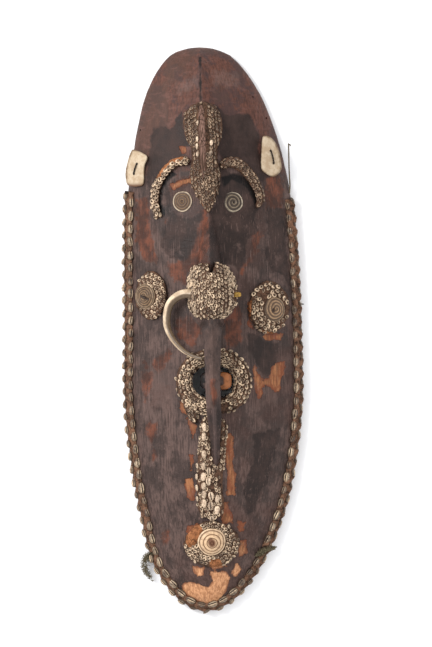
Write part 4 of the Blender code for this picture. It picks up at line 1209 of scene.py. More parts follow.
def wood_outside(form, rows, columns):
    """The face and sides of the mask, closed below on the plane of the back rim."""
    t = np.linspace(-1, 1, rows)
    heights = (CROWN + CHIN) / 2 + GRID_HEIGHT / 2 * (0.4 * t + 0.6 * np.sin(math.pi * t / 2))
    s = np.linspace(-1, 1, columns)
    shares = 0.45 * s + 0.55 * np.sin(math.pi * s / 2)
    rings = []
    for v in heights:
        half, middle, y = float(form.half_width(v)), float(form.middle(v)), v * form.uy
        x = middle + shares * half
        z = form.height(x, np.full_like(x, y))
        ring = [(middle - half, y, 0.0)]
        ring += [(float(a), y, float(b)) for a, b in zip(x, z)]
        ring.append((middle + half, y, 0.0))
        rings.append(ring)
    return swept_object("mask_face", rings)


def wood_hollow(form, rows=70, columns=44):
    sizes = form.sizes
    rings = []
    shrink = (sizes.length - 2 * sizes.rim_width) / sizes.length
    s = np.linspace(-1, 1, columns)
    shares = 0.45 * s + 0.55 * np.sin(math.pi * s / 2)
    for i in range(rows + 1):
        centre = (CHIN + CROWN) / 2
        v = centre - GRID_HEIGHT / 2 * shrink * math.cos(math.pi * i / rows)
        outer_v = centre + (v - centre) / shrink
        half = float(form.half_width(outer_v)) * (1 - 2 * sizes.rim_width / sizes.width)
        half = max(min(half, float(form.half_width(v)) - sizes.rim_width), 0)
        top = float(form.depth_at(outer_v)) + sizes.rim_height - sizes.wall
        middle = float(form.middle(v))
        ring = [(middle - half, v * form.uy, -10 * MM)]
        for u in shares:
            ring.append((middle + u * half, v * form.uy, min(top, 0) + max(top, 0) * float(form.bow(u))))
        ring.append((middle + half, v * form.uy, -10 * MM))
        rings.append(ring)
    return swept_object("hollow", rings)


def wood_nose(form, count=150):
    rings = []
    for i in range(count + 1):
        v = NOSE[0][0] + (NOSE[-1][0] - NOSE[0][0]) * i / count
        x, half, ridge, side, under = form.nose_section(v)
        ring = []
        for k in range(15):
            share = k / 7 - 1
            fall = (ridge - side) * abs(share) ** 1.15
            ring.append((x + share * half, v * form.uy, ridge - fall))
        ring += [
            (x + 0.85 * half, v * form.uy, under), (x, v * form.uy, under),
            (x - 0.85 * half, v * form.uy, under),
        ]
        rings.append(ring)
    return swept_object("nose", rings)


def oval_rings(form, oval, levels, sides, squareness):
    """levels holds (height, share of the full size)."""
    x, y, half_x, half_y = oval
    rings = []
    for z, share in levels:
        ring = []
        for k in range(sides):
            angle = 2 * math.pi * k / sides
            cos, sin = math.cos(angle), math.sin(angle)
            reach = share * (abs(cos) ** squareness + abs(sin) ** squareness) ** (-1 / squareness)
            ring.append(((x + half_x * reach * cos) * form.ux, (y + half_y * reach * sin) * form.uy, z))
        rings.append(ring)
    return rings


def add_boolean(obj, other, operation):
    added = obj.modifiers.new(operation.title(), "BOOLEAN")
    added.operation = operation
    added.object = other
    added.solver = "EXACT"


def make_wood(form, colours):
    face = wood_outside(form, 420, 150)
    hollow = wood_hollow(form)
    mouth = swept_object("mouth", oval_rings(form, MOUTH, ((-20 * MM, 1), (0.2, 1)), 40, 2.3))
    nose = wood_nose(form)
    top = form.nose_section(TONGUE[1])[4] + 3 * MM
    low = float(form.height(TONGUE[0] * form.ux, TONGUE[1] * form.uy)) - form.sizes.wall
    levels = (
        (low, 1), (low + 10 * MM, 1), (low + 14 * MM, 0.99), (top - 7 * MM, 0.97), (top - 3.5 * MM, 0.9),
        (top, 0.7),
    )
    tongue = swept_object("tongue", oval_rings(form, TONGUE, levels, 28, 4))
    drills = []
    for grid_x, grid_y in LASHING_HOLES + (TEMPLE_HOLE,):
        place = form.place(grid_x, grid_y)
        out = form.normal(place.x, place.y) * 26 * MM
        radius = form.sizes.hole / 2
        drills.append(swept_object("drill", tube_rings([place - out, place + out], [radius, radius], 14)))
    for other, operation in (
        (hollow, "DIFFERENCE"), (mouth, "DIFFERENCE"), (nose, "UNION"), (tongue, "UNION")
    ):
        add_boolean(face, other, operation)
    for drill in drills:
        add_boolean(face, drill, "DIFFERENCE")
    wood = baked(face, "wood")
    drop(hollow, mouth, nose, tongue, *drills)
    mesh = bmesh.new()
    mesh.from_mesh(wood.data)
    bmesh.ops.remove_doubles(mesh, verts=mesh.verts, dist=0.05 * MM)
    bmesh.ops.dissolve_degenerate(mesh, edges=mesh.edges, dist=0.02 * MM)
    long_faces = [f for f in mesh.faces if len(f.verts) > 4]
    bmesh.ops.triangulate(mesh, faces=long_faces)
    mesh.normal_update()
    wear(form, mesh)
    bmesh.ops.recalc_face_normals(mesh, faces=mesh.faces)
    mesh.to_mesh(wood.data)
    mesh.free()
    co = co_array(wood)
    y = co[:, 1] / form.uy
    x = co[:, 0] / form.ux
    painted = np.clip((205 - y - 0.25 * np.abs(x + 8)) / 70, 0, 1)
    point_values(wood, "painted", painted)
    # deep holds the painted shade under the brows and along the keel.
    for label, outlines, soft in (
        # black holds the black paint and the painted shade on the right face of the nose.
        ("bare", BARE_WOOD, 7), ("red", RED_WOOD, 11), ("black", BLACK_PAINT_AND_SHADE, 9), ("deep", PAINTED_SHADE, 4.5),
        ("scuffed", GREY_SCUFFS, 14),
    ):
        point_values(wood, label, patch_values(form, co, outlines, soft))
    point_values(wood, "ochre", np.clip((-215 - y) / 20, 0, 1))
    v = np.clip(y, NOSE[0][0], NOSE[-1][0])
    off = np.abs(x - through(NOSE_LINE, v)) / through([(r[0], r[1]) for r in NOSE], v)
    ridge = np.clip(1.5 - off, 0, 1) * (y > NOSE[0][0]) * (y < 8) * (co[:, 2] > 60 * MM)
    point_values(wood, "bar", ridge)
    point_values(wood, "edge", np.clip(1 - np.abs(off - 0.1) / 0.3, 0, 1) * ridge * (y < -76) * (y > -135))
    inside = ((x - TONGUE[0]) / TONGUE[2]) ** 4 + ((y - TONGUE[1]) / TONGUE[3]) ** 4
    point_values(
        wood, "tongue", (inside < 1.25) & (x > 4) & (co[:, 2] > form.sizes.face_depth * 0.86) & (off > 1.02)
    )
    # The walls of the mouth's opening, to be painted near-black as shade.
    hole = ((x - MOUTH[0]) / (MOUTH[2] + 0.6)) ** 2 + ((y - MOUTH[1]) / (MOUTH[3] + 0.6)) ** 2
    point_values(wood, "mouth", (hole < 1.3) & (off > 1.02))
    wood.data.materials.clear()
    wood.data.materials.append(wood_finish(colours))
    wood.data.materials.append(back_finish(colours))
    hidden = form.sizes.wall * 0.5
    for face in wood.data.polygons:
        middle = face.center
        below = float(form.height(middle.x, middle.y)) - hidden
        face.material_index = 1 if middle.z < below and face.normal.z < 0.2 else 0
    wood.data.shade_smooth()
    wood.data.set_sharp_from_angle(angle=math.radians(42))
    settle(wood, "wood", "mask_wood")
    return wood


def wear(form, mesh):
    """Moves the points of the wood along their normals: tool marks, deeper inside the hollow, waves and a
    fine roughness.
    """
    depth = form.sizes.tool_mark
    for point in mesh.verts:
        co = point.co
        if co.z < 1 * MM:
            continue
        scoop = noise.voronoi(Vector((co.x * 55, co.y * 32, co.z * 40)))[0][0]
        wave = noise.noise(Vector((co.x * 18, co.y * 12, co.z * 18)))
        fine = noise.noise(Vector((co.x * 220, co.y * 90, co.z * 220)))
        inside = point.normal.z < -0.1
        move = (scoop - 0.4) * depth * (2.2 if inside else 1) + wave * depth * 1.2 + fine * depth * 0.3
        point.co = co + point.normal * move


CLAY_NODES = (
    "forehead_crest", "brow_left", "brow_right", "nose_pad", "mouth_ring", "beard_strip", "cheek_pad_left",
    "cheek_pad_right", "chin_pad", "border_band",
)


def make_clay(form, name, finish):
    """A lumpy skin of clay over the plain solid of the frame, sunk a little into the wood."""
    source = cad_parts[name]
    mesh = bmesh.new()
    mesh.from_mesh(source.data)
    bmesh.ops.remove_doubles(mesh, verts=mesh.verts, dist=0.01 * MM)
    data = bpy.data.meshes.new(f"clay_{name}")
    mesh.to_mesh(data)
    mesh.free()
    made = bpy.data.objects.new(f"clay_{name}", data)
    bpy.context.collection.objects.link(made)
    remesh = made.modifiers.new("Skin", "REMESH")
    remesh.mode = "VOXEL"
    remesh.voxel_size = form.sizes.clay_grain * 1
    relax = made.modifiers.new("Relax", "SMOOTH")
    relax.factor = 0.5
    relax.iterations = 2
    made = baked(made, f"clay_{name}")
    mesh = bmesh.new()
    mesh.from_mesh(made.data)
    mesh.normal_update()
    rough, sunk = form.sizes.clay_rough, form.sizes.clay_sunk
    moves = []
    strip = np.zeros(len(mesh.verts))
    if name == "forehead_crest":
        strip = crest_strip(form, np.array([point.co for point in mesh.verts])) * 2.6 * MM
    for point in mesh.verts:
        co = point.co
        lumps = noise.noise(co * 140) * rough + noise.noise(co * 420) * rough * 0.4
        lump = strip[point.index] + lumps * (0.25 if strip[point.index] > MM else 1)
        moves.append(point.normal * lump + DOWN * sunk * min(max(0.35 - point.normal.z, 0) * 2, 1))
    for point, move in zip(mesh.verts, moves):
        point.co += move
    mesh.to_mesh(made.data)
    mesh.free()
    made.data.materials.clear()
    made.data.materials.append(finish)
    made.data.shade_smooth()
    co = co_array(made)
    point_values(made, "bare", patch_values(form, co, BARE_CLAY, 7))
    point_values(made, "strip", crest_strip(form, co) if name == "forehead_crest" else np.zeros(len(co)))
    settle(made, "clay", name)
    return made


def crest_strip(form, co):
    """The smooth ridge down the middle of the forehead's crest: 1 on it, 0 off it."""
    x, y = co[:, 0] / form.ux, co[:, 1] / form.uy
    off = np.abs(x - np.interp(y, (155, 222), (-9.2, -11.8)))
    wide = np.interp(y, (150, 158, 200, 218, 224), (0.9, 2.2, 3.8, 3.0, 1.0))
    return np.clip(1.5 - off / wide, 0, 1) * (y > 152) * (y < 224)


def outline_walk(form, pitch):
    """(point, inward direction) at even steps round the edge, from temple to temple under the chin."""
    heights = np.linspace(-1, 1, 700)
    heights = (CROWN + CHIN) / 2 + GRID_HEIGHT / 2 * np.sin(math.pi * heights / 2)
    left = [v for v in heights[::-1] if v < BAND_ENDS["left"]]
    right = [v for v in heights if v < BAND_ENDS["right"]]
    edge = [Vector((float(form.middle(v) - form.half_width(v)), v * form.uy)) for v in left]
    edge += [Vector((float(form.middle(v) + form.half_width(v)), v * form.uy)) for v in right[1:]]
    lengths = [0.0]
    for before, after in zip(edge, edge[1:]):
        lengths.append(lengths[-1] + (after - before).length)
    count = round(lengths[-1] / pitch)
    found = []
    for i in range(count):
        at = lengths[-1] * (i + 0.5) / count
        k = min(max(int(np.searchsorted(lengths, at)), 4), len(edge) - 5)
        along = (edge[k + 4] - edge[k - 4]).normalized()
        found.append((edge[k], Vector((-along.y, along.x))))
    return found


def make_nassa_shells(form, colours, clay, seed):
    """The small shells of every pad, in rows that follow its shape."""
    bright = set_shell_finish("small pale shell", colours, 0.74, 1.16, 0.32)
    dull = set_shell_finish("small dull shell", colours, 0.54, 0.88, 0.5)
    shell = nassa_shell()
    length = form.sizes.nassa_length

    def along(spine, scale, number, **more):
        return spine_spots(form, spine, length * scale * 0.94, length * scale * 0.74, seed + number, **more)

    def around(centre, pad, inner, scale, number):
        pitch, rows = length * scale * 0.94, length * scale * 0.74
        return round_spots(form, centre, inner * MM, pad, pitch, rows, seed + number)

    layouts = {
        "forehead_crest": (0.72, along(CREST, 0.72, 1, margin=0.001)),
        "brow_left": (
            0.86, spine_spots(form, BROW_LEFT, 7.6 * MM, 3.6 * MM, seed + 2, margin=0, rows=(-1, 0, 1))
        ),
        "brow_right": (0.72, spine_spots(form, BROW_RIGHT, 6.2 * MM, 4.4 * MM, seed + 3, margin=0.0015)),
        "nose_pad": (0.72, along(NOSE_PAD, 0.72, 4, margin=0.001)),
        "mouth_ring": (
            0.8,
            along(MOUTH_RING, 0.8, 5, closed=True, margin=0.0008)
            + along(MOUTH_TAIL[1:], 0.8, 6, margin=0.0008),
        ),
        "beard_strip": (0.7, along(BEARD, 0.7, 7, keep=0.7, margin=0.001)),
        "cheek_pad_left": (0.7, around(CHEEKS["left"], CHEEK_PADS["left"], 20, 0.7, 8)),
        "cheek_pad_right": (0.86, around(CHEEKS["right"], CHEEK_PADS["right"], 21, 0.86, 9)),
        "chin_pad": (0.74, around(CHIN_DISC_AT, CHIN_PAD, 23.5, 0.74, 10)),
    }
    for k, (node, (scale, spots)) in enumerate(layouts.items()):
        spots = set_ones(form, spots)
        if node == "nose_pad":
            spots += flank_spots(form, length, seed)
        made = set_pieces(
            f"shells_{node}", spots, clay[node], shell,
            dull if node in ("forehead_crest", "brow_right") else bright, length * scale, lift=-0.0004,
            lean=0.3, spin=0.7, seed=seed + k,
        )
        settle(made, "cream_shell")
    drop(shell)


def make_cowries(form, colours, clay, seed):
    """The cowries of the beard and crest, and the two rows of the border."""
    slit, back, worn = cowrie_shell("slit"), cowrie_shell("back"), cowrie_shell("worn")
    pale = set_shell_finish("cream cowrie", colours, 0.95, 1.12, 0.1)
    dark = set_shell_finish("worn cowrie", colours, 0.7, 1.16, 0.4)
    length = form.sizes.cowrie_length
    backs, slits = [], []
    for grid_x, grid_y in (
        (-8, -96.5), (-8.4, -106), (-8.7, -123.6), (-9, -135.5), (-9.3, -146), (-9, -155), (-8.6, -163.6),
        (-8.4, -172.5), (-6, -187), (4, -168), (3.7, -179), (6, -187.7),
    ):
        backs.append(from_above(form, grid_x, grid_y, (0.12, 1), 0.8))
    for grid_x, grid_y in ((-15, 190), (-15.4, 183), (-15, 175), (-14.6, 206), (-2, 186), (-3, 176)):
        backs.append(from_above(form, grid_x, grid_y, (0.2, 1), 0.52))
    for grid_x, grid_y, size in (
        (-1.7, -165, 0.85), (-2, -175, 0.85), (-1.2, -187, 0.8), (-4, -140, 0.7), (-4.3, -150.6, 0.75),
        (-15, -135, 0.6), (-15.5, -146, 0.6), (-15.4, -157, 0.6), (-15, -168, 0.55),
    ):
        slits.append(from_above(form, grid_x, grid_y, (0, 1), size))
    for kind, spots, piece in (("backs", backs, back), ("slits", slits, slit)):
        for node in ("beard_strip", "forehead_crest"):
            near = [spot for spot in spots if (spot[0].y > 0) == (node == "forehead_crest")]
            if not near:
                continue
            made = set_pieces(
                f"cowrie_{kind}_{node}", near, clay[node], piece, pale, length, lift=0.0008, spread=0.06,
                lean=0.12, spin=0.15, seed=seed,
            )
            settle(made, "cream_shell")

    inner, outer = [], []
    for i, (edge, inward) in enumerate(outline_walk(form, form.sizes.cowrie_pitch / 2)):
        along = Vector((inward.y, -inward.x, 0))
        if i % 2:
            spot = edge + inward * form.sizes.band_width * 0.68
            inner.append((Vector((*spot, SKY)), DOWN, along, 0.9))
        else:
            out = Vector((*(-inward), 1.3)).normalized()
            rim = Vector((*(edge + inward * 0.5 * MM), form.sizes.rim_height + 3 * MM))
            outer.append((rim + out * 60 * MM, -out, along, 0.74))
    for kind, spots in (("inner", inner), ("outer", outer)):
        made = set_pieces(
            f"border_cowries_{kind}", spots, clay["border_band"], worn, dark, length,
            lift=-0.0014, spread=0.12, lean=0.14, spin=0.16, seed=seed + 3,
        )
        settle(made, "brown_shell")
    drop(slit, back, worn)


def make_disc(form, name, at, radius, lift, finish, look):
    """A ground shell. look holds its rise, turns, handedness, width of ridge, pit and so on."""
    place = form.place(*at, lift)
    normal = form.normal(place.x, place.y)
    place += normal * look["proud"]
    turn = normal.to_track_quat("Z", "Y")
    rings, around = 60, 96
    points, shares, grooves = [], [], []
    for i in range(rings):
        share = 1 - i / rings
        for k in range(around):
            angle = 2 * math.pi * k / around
            phase = (share * look["turns"] + look["hand"] * k / around + look["start"]) % 1
            if look["thin"]:
                ridge = 1 - math.exp(-((min(phase, 1 - phase) / look["thin"]) ** 2))
            else:
                ridge = math.exp(-(((phase - 0.5) / look["ridge_width"]) ** 2))
            groove = 1 - ridge if share > 0.06 else 0.8
            height = look["rise"] * (1 - share ** look["bulge"]) + look["ridge"] * (ridge - 1)
            far_x, far_y = share * math.cos(angle) - look["pit"][0], share * math.sin(angle) - look["pit"][1]
            pit = 1 - math.hypot(far_x / look["pit"][2], far_y / look["pit"][3])
            height -= look["deep"] * min(max(pit * 2, 0), 1)
            groove = max(groove, min(max(pit * 2.5, 0), 1.05))
            if look["slit"]:
                slanted = abs(far_x - 0.35 * far_y)
                slit = max(1.6 - slanted / 0.1, 0) * (abs(far_y) < 0.42)
                groove, height = max(groove, min(1.05 * slit, 1.1)), height - MM * min(slit, 1.2)
            wobble = 1 + 0.012 * math.sin(3 * angle + 1) + 0.01 * math.sin(5 * angle)
            spot = Vector((
                radius * share * math.cos(angle) * wobble, radius * share * math.sin(angle) * wobble, height
            ))
            points.append(place + turn @ spot)
            shares.append(share)
            grooves.append(groove * look["contrast"])
    faces = band_faces(rings, around)
    faces.append(tuple((rings - 1) * around + k for k in range(around)))
    base = len(points)
    for k in range(around):
        angle = 2 * math.pi * k / around
        spot = Vector((radius * 0.97 * math.cos(angle), radius * 0.97 * math.sin(angle), -look["thick"]))
        points.append(place + turn @ spot)
        shares.append(1)
        grooves.append(0.6)
        nxt = (k + 1) % around
        faces.append((base + k, base + nxt, nxt, k))
    faces.append(tuple(base + k for k in reversed(range(around))))
    made = new_mesh_object(name, points, faces, finish)
    if len(made.data.vertices) != len(points):
        raise RuntimeError(f"{name} lost points")
    point_values(made, "share", shares)
    point_values(made, "groove", grooves)
    return made


def make_discs(form, colours):
    ivory, clay = colours.ivory, colours.clay
    common = {
        "turns": 3.5, "hand": 1, "start": 0.0, "ridge": 0.8 * MM, "ridge_width": 0.26, "bulge": 2.0,
        "thick": 2 * MM,
        "proud": 0, "pit": (0, 0, 0.16, 0.16), "deep": 0.8 * MM, "slit": False, "contrast": 1.0, "thin": 0,
    }
    plans = {
        "eye_disc_left": (
            EYES["left"], EYE_DISC, "cream_shell",
            disc_finish(
                "left eye shell", toned(ivory, 0.92), toned(ivory, 0.5, 0.12), toned(clay, 0.85, 0.05), 0.5
            ),
            {
                "rise": 2.2 * MM, "proud": 2.4 * MM, "turns": 4.0, "ridge_width": 0.22, "hand": 0,
                "start": 0.72,
            },
        ),
        "eye_disc_right": (
            EYES["right"], EYE_DISC, "grey_shell",
            disc_finish(
                "right eye shell", toned(ivory, 0.9, -0.02), toned(ivory, 0.6, 0.02),
                toned(clay, 0.62, -0.02), 0.5,
            ),
            {
                "rise": 2.4 * MM, "proud": 2.4 * MM, "turns": 3.0, "hand": -1, "start": 0.4,
                "ridge": 1.3 * MM, "ridge_width": 0.2,
            },
        ),
        "cheek_disc_left": (
            CHEEKS["left"], CHEEK_DISC, "brown_shell",
            disc_finish(
                "brown shell", toned(ivory, 0.62, 0.08), toned(ivory, 0.5, 0.14), toned(clay, 0.62, 0.04),
                0.6,
            ),
            {
                "rise": 4 * MM, "pit": (0.1, 0.1, 0.2, 0.2), "deep": 1 * MM, "turns": 5.5, "slit": True,
                "hand": 0, "thin": 0.2, "contrast": 0.95,
            },
        ),
        "cheek_disc_right": (
            CHEEKS["right"], CHEEK_DISC, "tan_shell",
            disc_finish(
                "tan shell", toned(ivory, 0.62, 0.08), toned(ivory, 0.68, 0.12), toned(clay, 0.8, 0.03), 0.45
            ),
            {
                "rise": 5 * MM, "pit": (-0.1, 0.25, 0.24, 0.2), "deep": 1.8 * MM, "turns": 4.0,
                "ridge_width": 0.27, "ridge": 1.0 * MM,
            },
        ),
        "chin_disc": (
            CHIN_DISC_AT, CHIN_DISC, "pale_shell",
            disc_finish(
                "pale shell", toned(ivory, 0.95, 0.04), toned(ivory, 0.92, 0.07), toned(clay, 1.25, 0.1),
                0.45,
            ),
            {
                "rise": 11 * MM, "pit": (-0.02, 0.06, 0.33, 0.45), "deep": 1.6 * MM, "turns": 4.0,
                "hand": 0, "start": 0.55, "ridge": 1.5 * MM, "thin": 0.13, "bulge": 1.5, "thick": 3.5 * MM,
            },
        ),
    }
    for name, (at, (radius, lift), slot, finish, look) in plans.items():
        made = make_disc(form, f"shell_{name}", at, radius * MM, lift * MM, finish, {**common, **look})
        settle(made, slot, name)


def make_tusk(form, colours):
    """The tusk, with its groove along the inner side."""
    count, sides = 90, 24
    path = smooth_path(TUSK, count)
    points, radii = [], []
    for i, (x, y) in enumerate(path):
        share = i / (count - 1)
        lift = form.sizes.tusk_lift + 5 * MM * (share - math.sin(math.pi * share))
        points.append(form.place(x, y, lift))
        radii.append(form.sizes.tusk_radius * (1 - 0.78 * share**1.6))
    rings = tube_rings(points, radii, sides)
    inner, crack = [], []
    centre = form.place(-20, 5)
    for i, ring in enumerate(rings):
        share = i / (count - 1)
        towards = (centre - points[i]).to_2d().normalized()
        for k, spot in enumerate(ring):
            out = (spot - points[i]).normalized()
            facing = out.to_2d().dot(towards)
            groove = math.exp(-((facing - 0.45) / 0.16) ** 2) * (1 if out.z > 0 else 0)
            ring[k] = points[i] + out * radii[i] * (1 - 0.16 * groove) * (
                1 + 0.04 * math.cos(3 * k * 2 * math.pi / sides)
            )
            # Darker towards the inside of the curve and the tip: partly the tusk's own browner ivory, partly
            # painted shade.
            inner.append(0.5 + 0.5 * facing + 0.35 * share)
            # Painted shade along the groove, broken up by noise.
            crack.append(groove * (0.4 + 0.6 * noise.noise(Vector((share * 30, 2, 0)))))
    data_points, faces = swept(rings)
    made = new_mesh_object("tusk", data_points, faces, ivory_finish(colours))
    point_values(made, "inner", inner)
    point_values(made, "crack", crack)
    settle(made, "ivory", "boar_tusk")

    x, y, reach = NOSE_PEG
    root = form.place(x, y, PEG_HEIGHT * MM)
    tip = root + Vector((reach * form.ux, 0, -2 * MM))
    lines = [root.lerp(tip, t) for t in (0, 0.3, 0.6, 0.85, 0.97, 1)]
    radii = [4.0, 4.0, 3.8, 3.5, 2.6, 1.4]
    made = swept_object("peg", tube_rings(lines, [r * MM for r in radii], 16), peg_finish())
    settle(made, "peg", "nose_peg")


def plaque_frame(form, outline, side):
    """(middle, height over the middle, slope) of a shell plate resting on the temple."""
    x = sum(p[0] for p in outline) / len(outline) * form.ux
    y = sum(p[1] for p in outline) / len(outline) * form.uy
    slope = math.tan(PLAQUE_LEAN if side == "right" else -PLAQUE_LEAN)
    rest = 0
    for px, py in outline:
        for share in (0, 0.25, 0.5, 0.75, 1):
            at_x = x + (px * form.ux - x) * share
            at_y = y + (py * form.uy - y) * share
            v = at_y / form.uy
            if abs(at_x - form.middle(v)) < form.half_width(v):
                rest = max(rest, float(form.height(at_x, at_y)) + slope * (at_x - x))
    return x, y, rest + 0.6 * MM, slope


def make_plaques(form, colours):
    """The two shell plates at the temples, each with two holes and a stitch of thread."""
    finish = plaque_finish(colours)
    dark = fibre_finish("dark thread", seen(0.12, 0.1, 0.09), seen(0.24, 0.2, 0.17))
    thick = form.sizes.plaque
    for side, outline in PLAQUES.items():
        x, y, rest, slope = plaque_frame(form, outline, side)
        lean = math.atan(slope)
        up = Vector((math.sin(lean), 0, math.cos(lean)))

        def plate(px, py, lift):
            return Vector((px, py, rest - slope * (px - x))) + up * lift

        smooth = smooth_path(outline + outline[:1], 97)[:-1]
        edge = []
        for k, (px, py) in enumerate(smooth):
            ragged = 1 + 0.02 * noise.noise(Vector((k * 0.9, 3, 0)))
            edge.append((x + (px * form.ux - x) * ragged, y + (py * form.uy - y) * ragged))
        levels = (
            (0.0, 0.0), (0.5, 0), (0.9, 0), (0.965, 0.08), (1, 0.3), (1, 0.62), (0.965, 0.88), (0.9, 0.98),
            (0.78, 1.03), (0.6, 1.06), (0.4, 1.08), (0.2, 1.08), (0.0, 1.08),
        )
        rings = []
        for share, level in levels:
            ring = []
            for px, py in edge:
                at_x, at_y = x + (px - x) * max(share, 0.01), y + (py - y) * max(share, 0.01)
                bump = noise.noise(Vector((at_x, at_y, 0)) * 110) * 0.35 * MM * (level > 0.5)
                ring.append(plate(at_x, at_y, level * thick + bump))
            rings.append(ring)
        made = swept_object("plate", rings)
        drills = []
        for px, py in THREADS[side]:
            ends = [plate(px * form.ux, py * form.uy, lift) for lift in (-thick, 2.2 * thick)]
            drills.append(swept_object("drill", tube_rings(ends, [2 * MM, 2 * MM], 14)))
            add_boolean(made, drills[-1], "DIFFERENCE")
        made = baked(made, f"shell_plate_{side}")
        drop(*drills)
        co = co_array(made)
        away = np.full(len(co), 9.0)
        for px, py in edge:
            away = np.minimum(away, np.hypot(co[:, 0] - px, co[:, 1] - py))
        point_values(made, "rim", np.clip(1 - away / (5 * MM), 0, 1))
        low = (co[:, 1] - co[:, 1].min()) / (co[:, 1].max() - co[:, 1].min())
        stain = np.clip(1.0 - low * 5, 0, 1) if side == "left" else np.clip(0.4 - low * 4, 0, 1)
        point_values(made, "stain", stain)
        made.data.materials.clear()
        made.data.materials.append(finish)
        made.data.shade_smooth()
        made.data.set_sharp_from_angle(angle=math.radians(50))
        settle(made, "plaque_shell", f"ear_plaque_{side}")

        first, last = [(px * form.ux, py * form.uy) for px, py in THREADS[side]]
        radius = form.sizes.thread
        high = thick * 1.08 + radius * 1.2
        half = tuple((a + b) / 2 for a, b in zip(first, last))
        lines = []
        for off in (-0.55, 0.55):
            stitch = (
                (first, 0.3 * MM), (first, thick * 0.6), (first, high), (half, high + radius),
                (last, high), (last, thick * 0.6), (last, 0.3 * MM),
            )
            route = [plate(px + off * radius, py, lift) for (px, py), lift in stitch]
            lines.append([(p, radius * 0.8) for p in route])
        made = strands(f"thread_{side}", lines, dark, 8)
        settle(made, "thread", f"ear_thread_{side}")


def make_fibres(form, seed):
    """The stick at the right temple, the tufts at the jaw, a twig and the stub of a cord."""
    dice = random.Random(seed)
    stick = fibre_finish("grey stick", seen(0.3, 0.26, 0.21), seen(0.5, 0.44, 0.36))
    tuft_look = fibre_finish("grey fibre", seen(0.28, 0.25, 0.19), seen(0.58, 0.53, 0.42))
    path = smooth_path(STEM, 24)
    line = []
    base = float(form.height(STEM[0][0] * form.ux, STEM[0][1] * form.uy)) + 2.3 * MM
    for k, (x, y) in enumerate(path):
        bend = 0.5 * MM * math.sin(k * 0.7)
        line.append((
            Vector((x * form.ux + bend, y * form.uy, base + 12 * MM * k / 23)), (1.15 - 0.25 * k / 23) * MM
        ))
    made = strands("stem", [line], stick, 8)
    settle(made, "fibre", "rim_stem")
    for side, route in TUFTS.items():
        lines = []
        path = smooth_path(route, 12)
        for _ in range(420):
            at = dice.choice((dice.gauss(2.6, 1.1), dice.gauss(7.4, 1.5)))
            at = min(max(at, 0.3), 10.6)
            i = int(at)
            spot = [a + (b - a) * (at - i) for a, b in zip(path[i], path[i + 1])]
            point = Vector((spot[0] * form.ux, spot[1] * form.uy, spot[2] * MM))
            heading = Vector([dice.gauss(0, 1) for _ in range(3)]).normalized()
            point += heading * spot[3] * MM * dice.uniform(0, 0.55)
            line = []
            for k in range(6):
                line.append((point.copy(), (0.42 - 0.04 * k) * MM))
                heading = (heading + Vector([dice.gauss(0, 0.45) for _ in range(3)])).normalized()
                point += heading * spot[3] * MM * 0.17
                point.z = max(point.z, 1.2 * MM)
            lines.append(line)
        made = strands(f"fibre_{side}", lines, tuft_look, 4)
        settle(made, "fibre", f"tuft_{side}")
    cord = fibre_finish("dark cord", seen(0.1, 0.08, 0.07), seen(0.26, 0.2, 0.16))
    stub, twig = [], []
    for k in range(5):
        point = form.place(*CORD_STUB_AT, 4 * MM) + Vector((-k * 1.6, 0.3 * k, k * 0.2)) * MM
        stub.append((point, (2.6 - 0.1 * k) * MM))
    for k in range(6):
        point = form.place(*TWIG_AT, 5 * MM) + Vector((k * 1.5, 0.2 * math.sin(k), 0.2 * k)) * MM
        twig.append((point, (1.3 - 0.12 * k) * MM))
    made = strands("cord_stub_and_twig", [stub, twig], cord, 8)
    settle(made, "fibre")


def make_stage(context, stage):
    for light in list(bpy.data.lights):
        bpy.data.lights.remove(light)
    floor = new_mesh_object("floor", ((-6, -6, 0), (6, -6, 0), (6, 6, 0), (-6, 6, 0)), ((0, 1, 2, 3),))
    plain = Finish("pale floor")
    floor.data.materials.append(plain.done((0.93, 0.93, 0.94), 0.9, (), 0.1))
    floor.location.z = -0.0005
    world = bpy.data.worlds.new("soft light")
    world.use_nodes = True
    world.node_tree.nodes["Background"].inputs["Color"].default_value = (0.98, 0.99, 1, 1)
    world.node_tree.nodes["Background"].inputs["Strength"].default_value = stage.sky
    context.scene.world = world
    for name, place, size, power in (
        ("key", (-1.9, 1.0, 2.1), 1.5, stage.key), ("fill", (2.2, -0.6, 2.2), 2.2, stage.fill),
    ):
        light = bpy.data.lights.new(name, "AREA")
        light.shape = "DISK"
        light.size = size
        light.energy = power
        made = bpy.data.objects.new(name, light)
        made.location = place
        made.rotation_mode = "QUATERNION"
        made.rotation_quaternion = (-Vector(place)).to_track_quat("-Z", "Y")
        context.scene.collection.objects.link(made)
    camera = bpy.data.cameras.new("camera")
    camera.sensor_width = 36
    camera.lens = 36 * stage.distance / stage.frame_height
    camera.clip_end = 50
    seat = bpy.data.objects.new("camera", camera)
    seat.location = (stage.centre_x, stage.centre_y, stage.distance + 0.02)
    context.scene.collection.objects.link(seat)
    context.scene.camera = seat
    context.scene.view_settings.view_transform = "Standard"


class MASK_OT_wood(bpy.types.Operator):
    """Carve and paint the wood"""

    bl_idname = "mask.wood"
    bl_label = "Wood"

    def execute(self, context):
        make_wood(Form(context.scene.mask_sizes), context.scene.mask_colours)
        return {"FINISHED"}


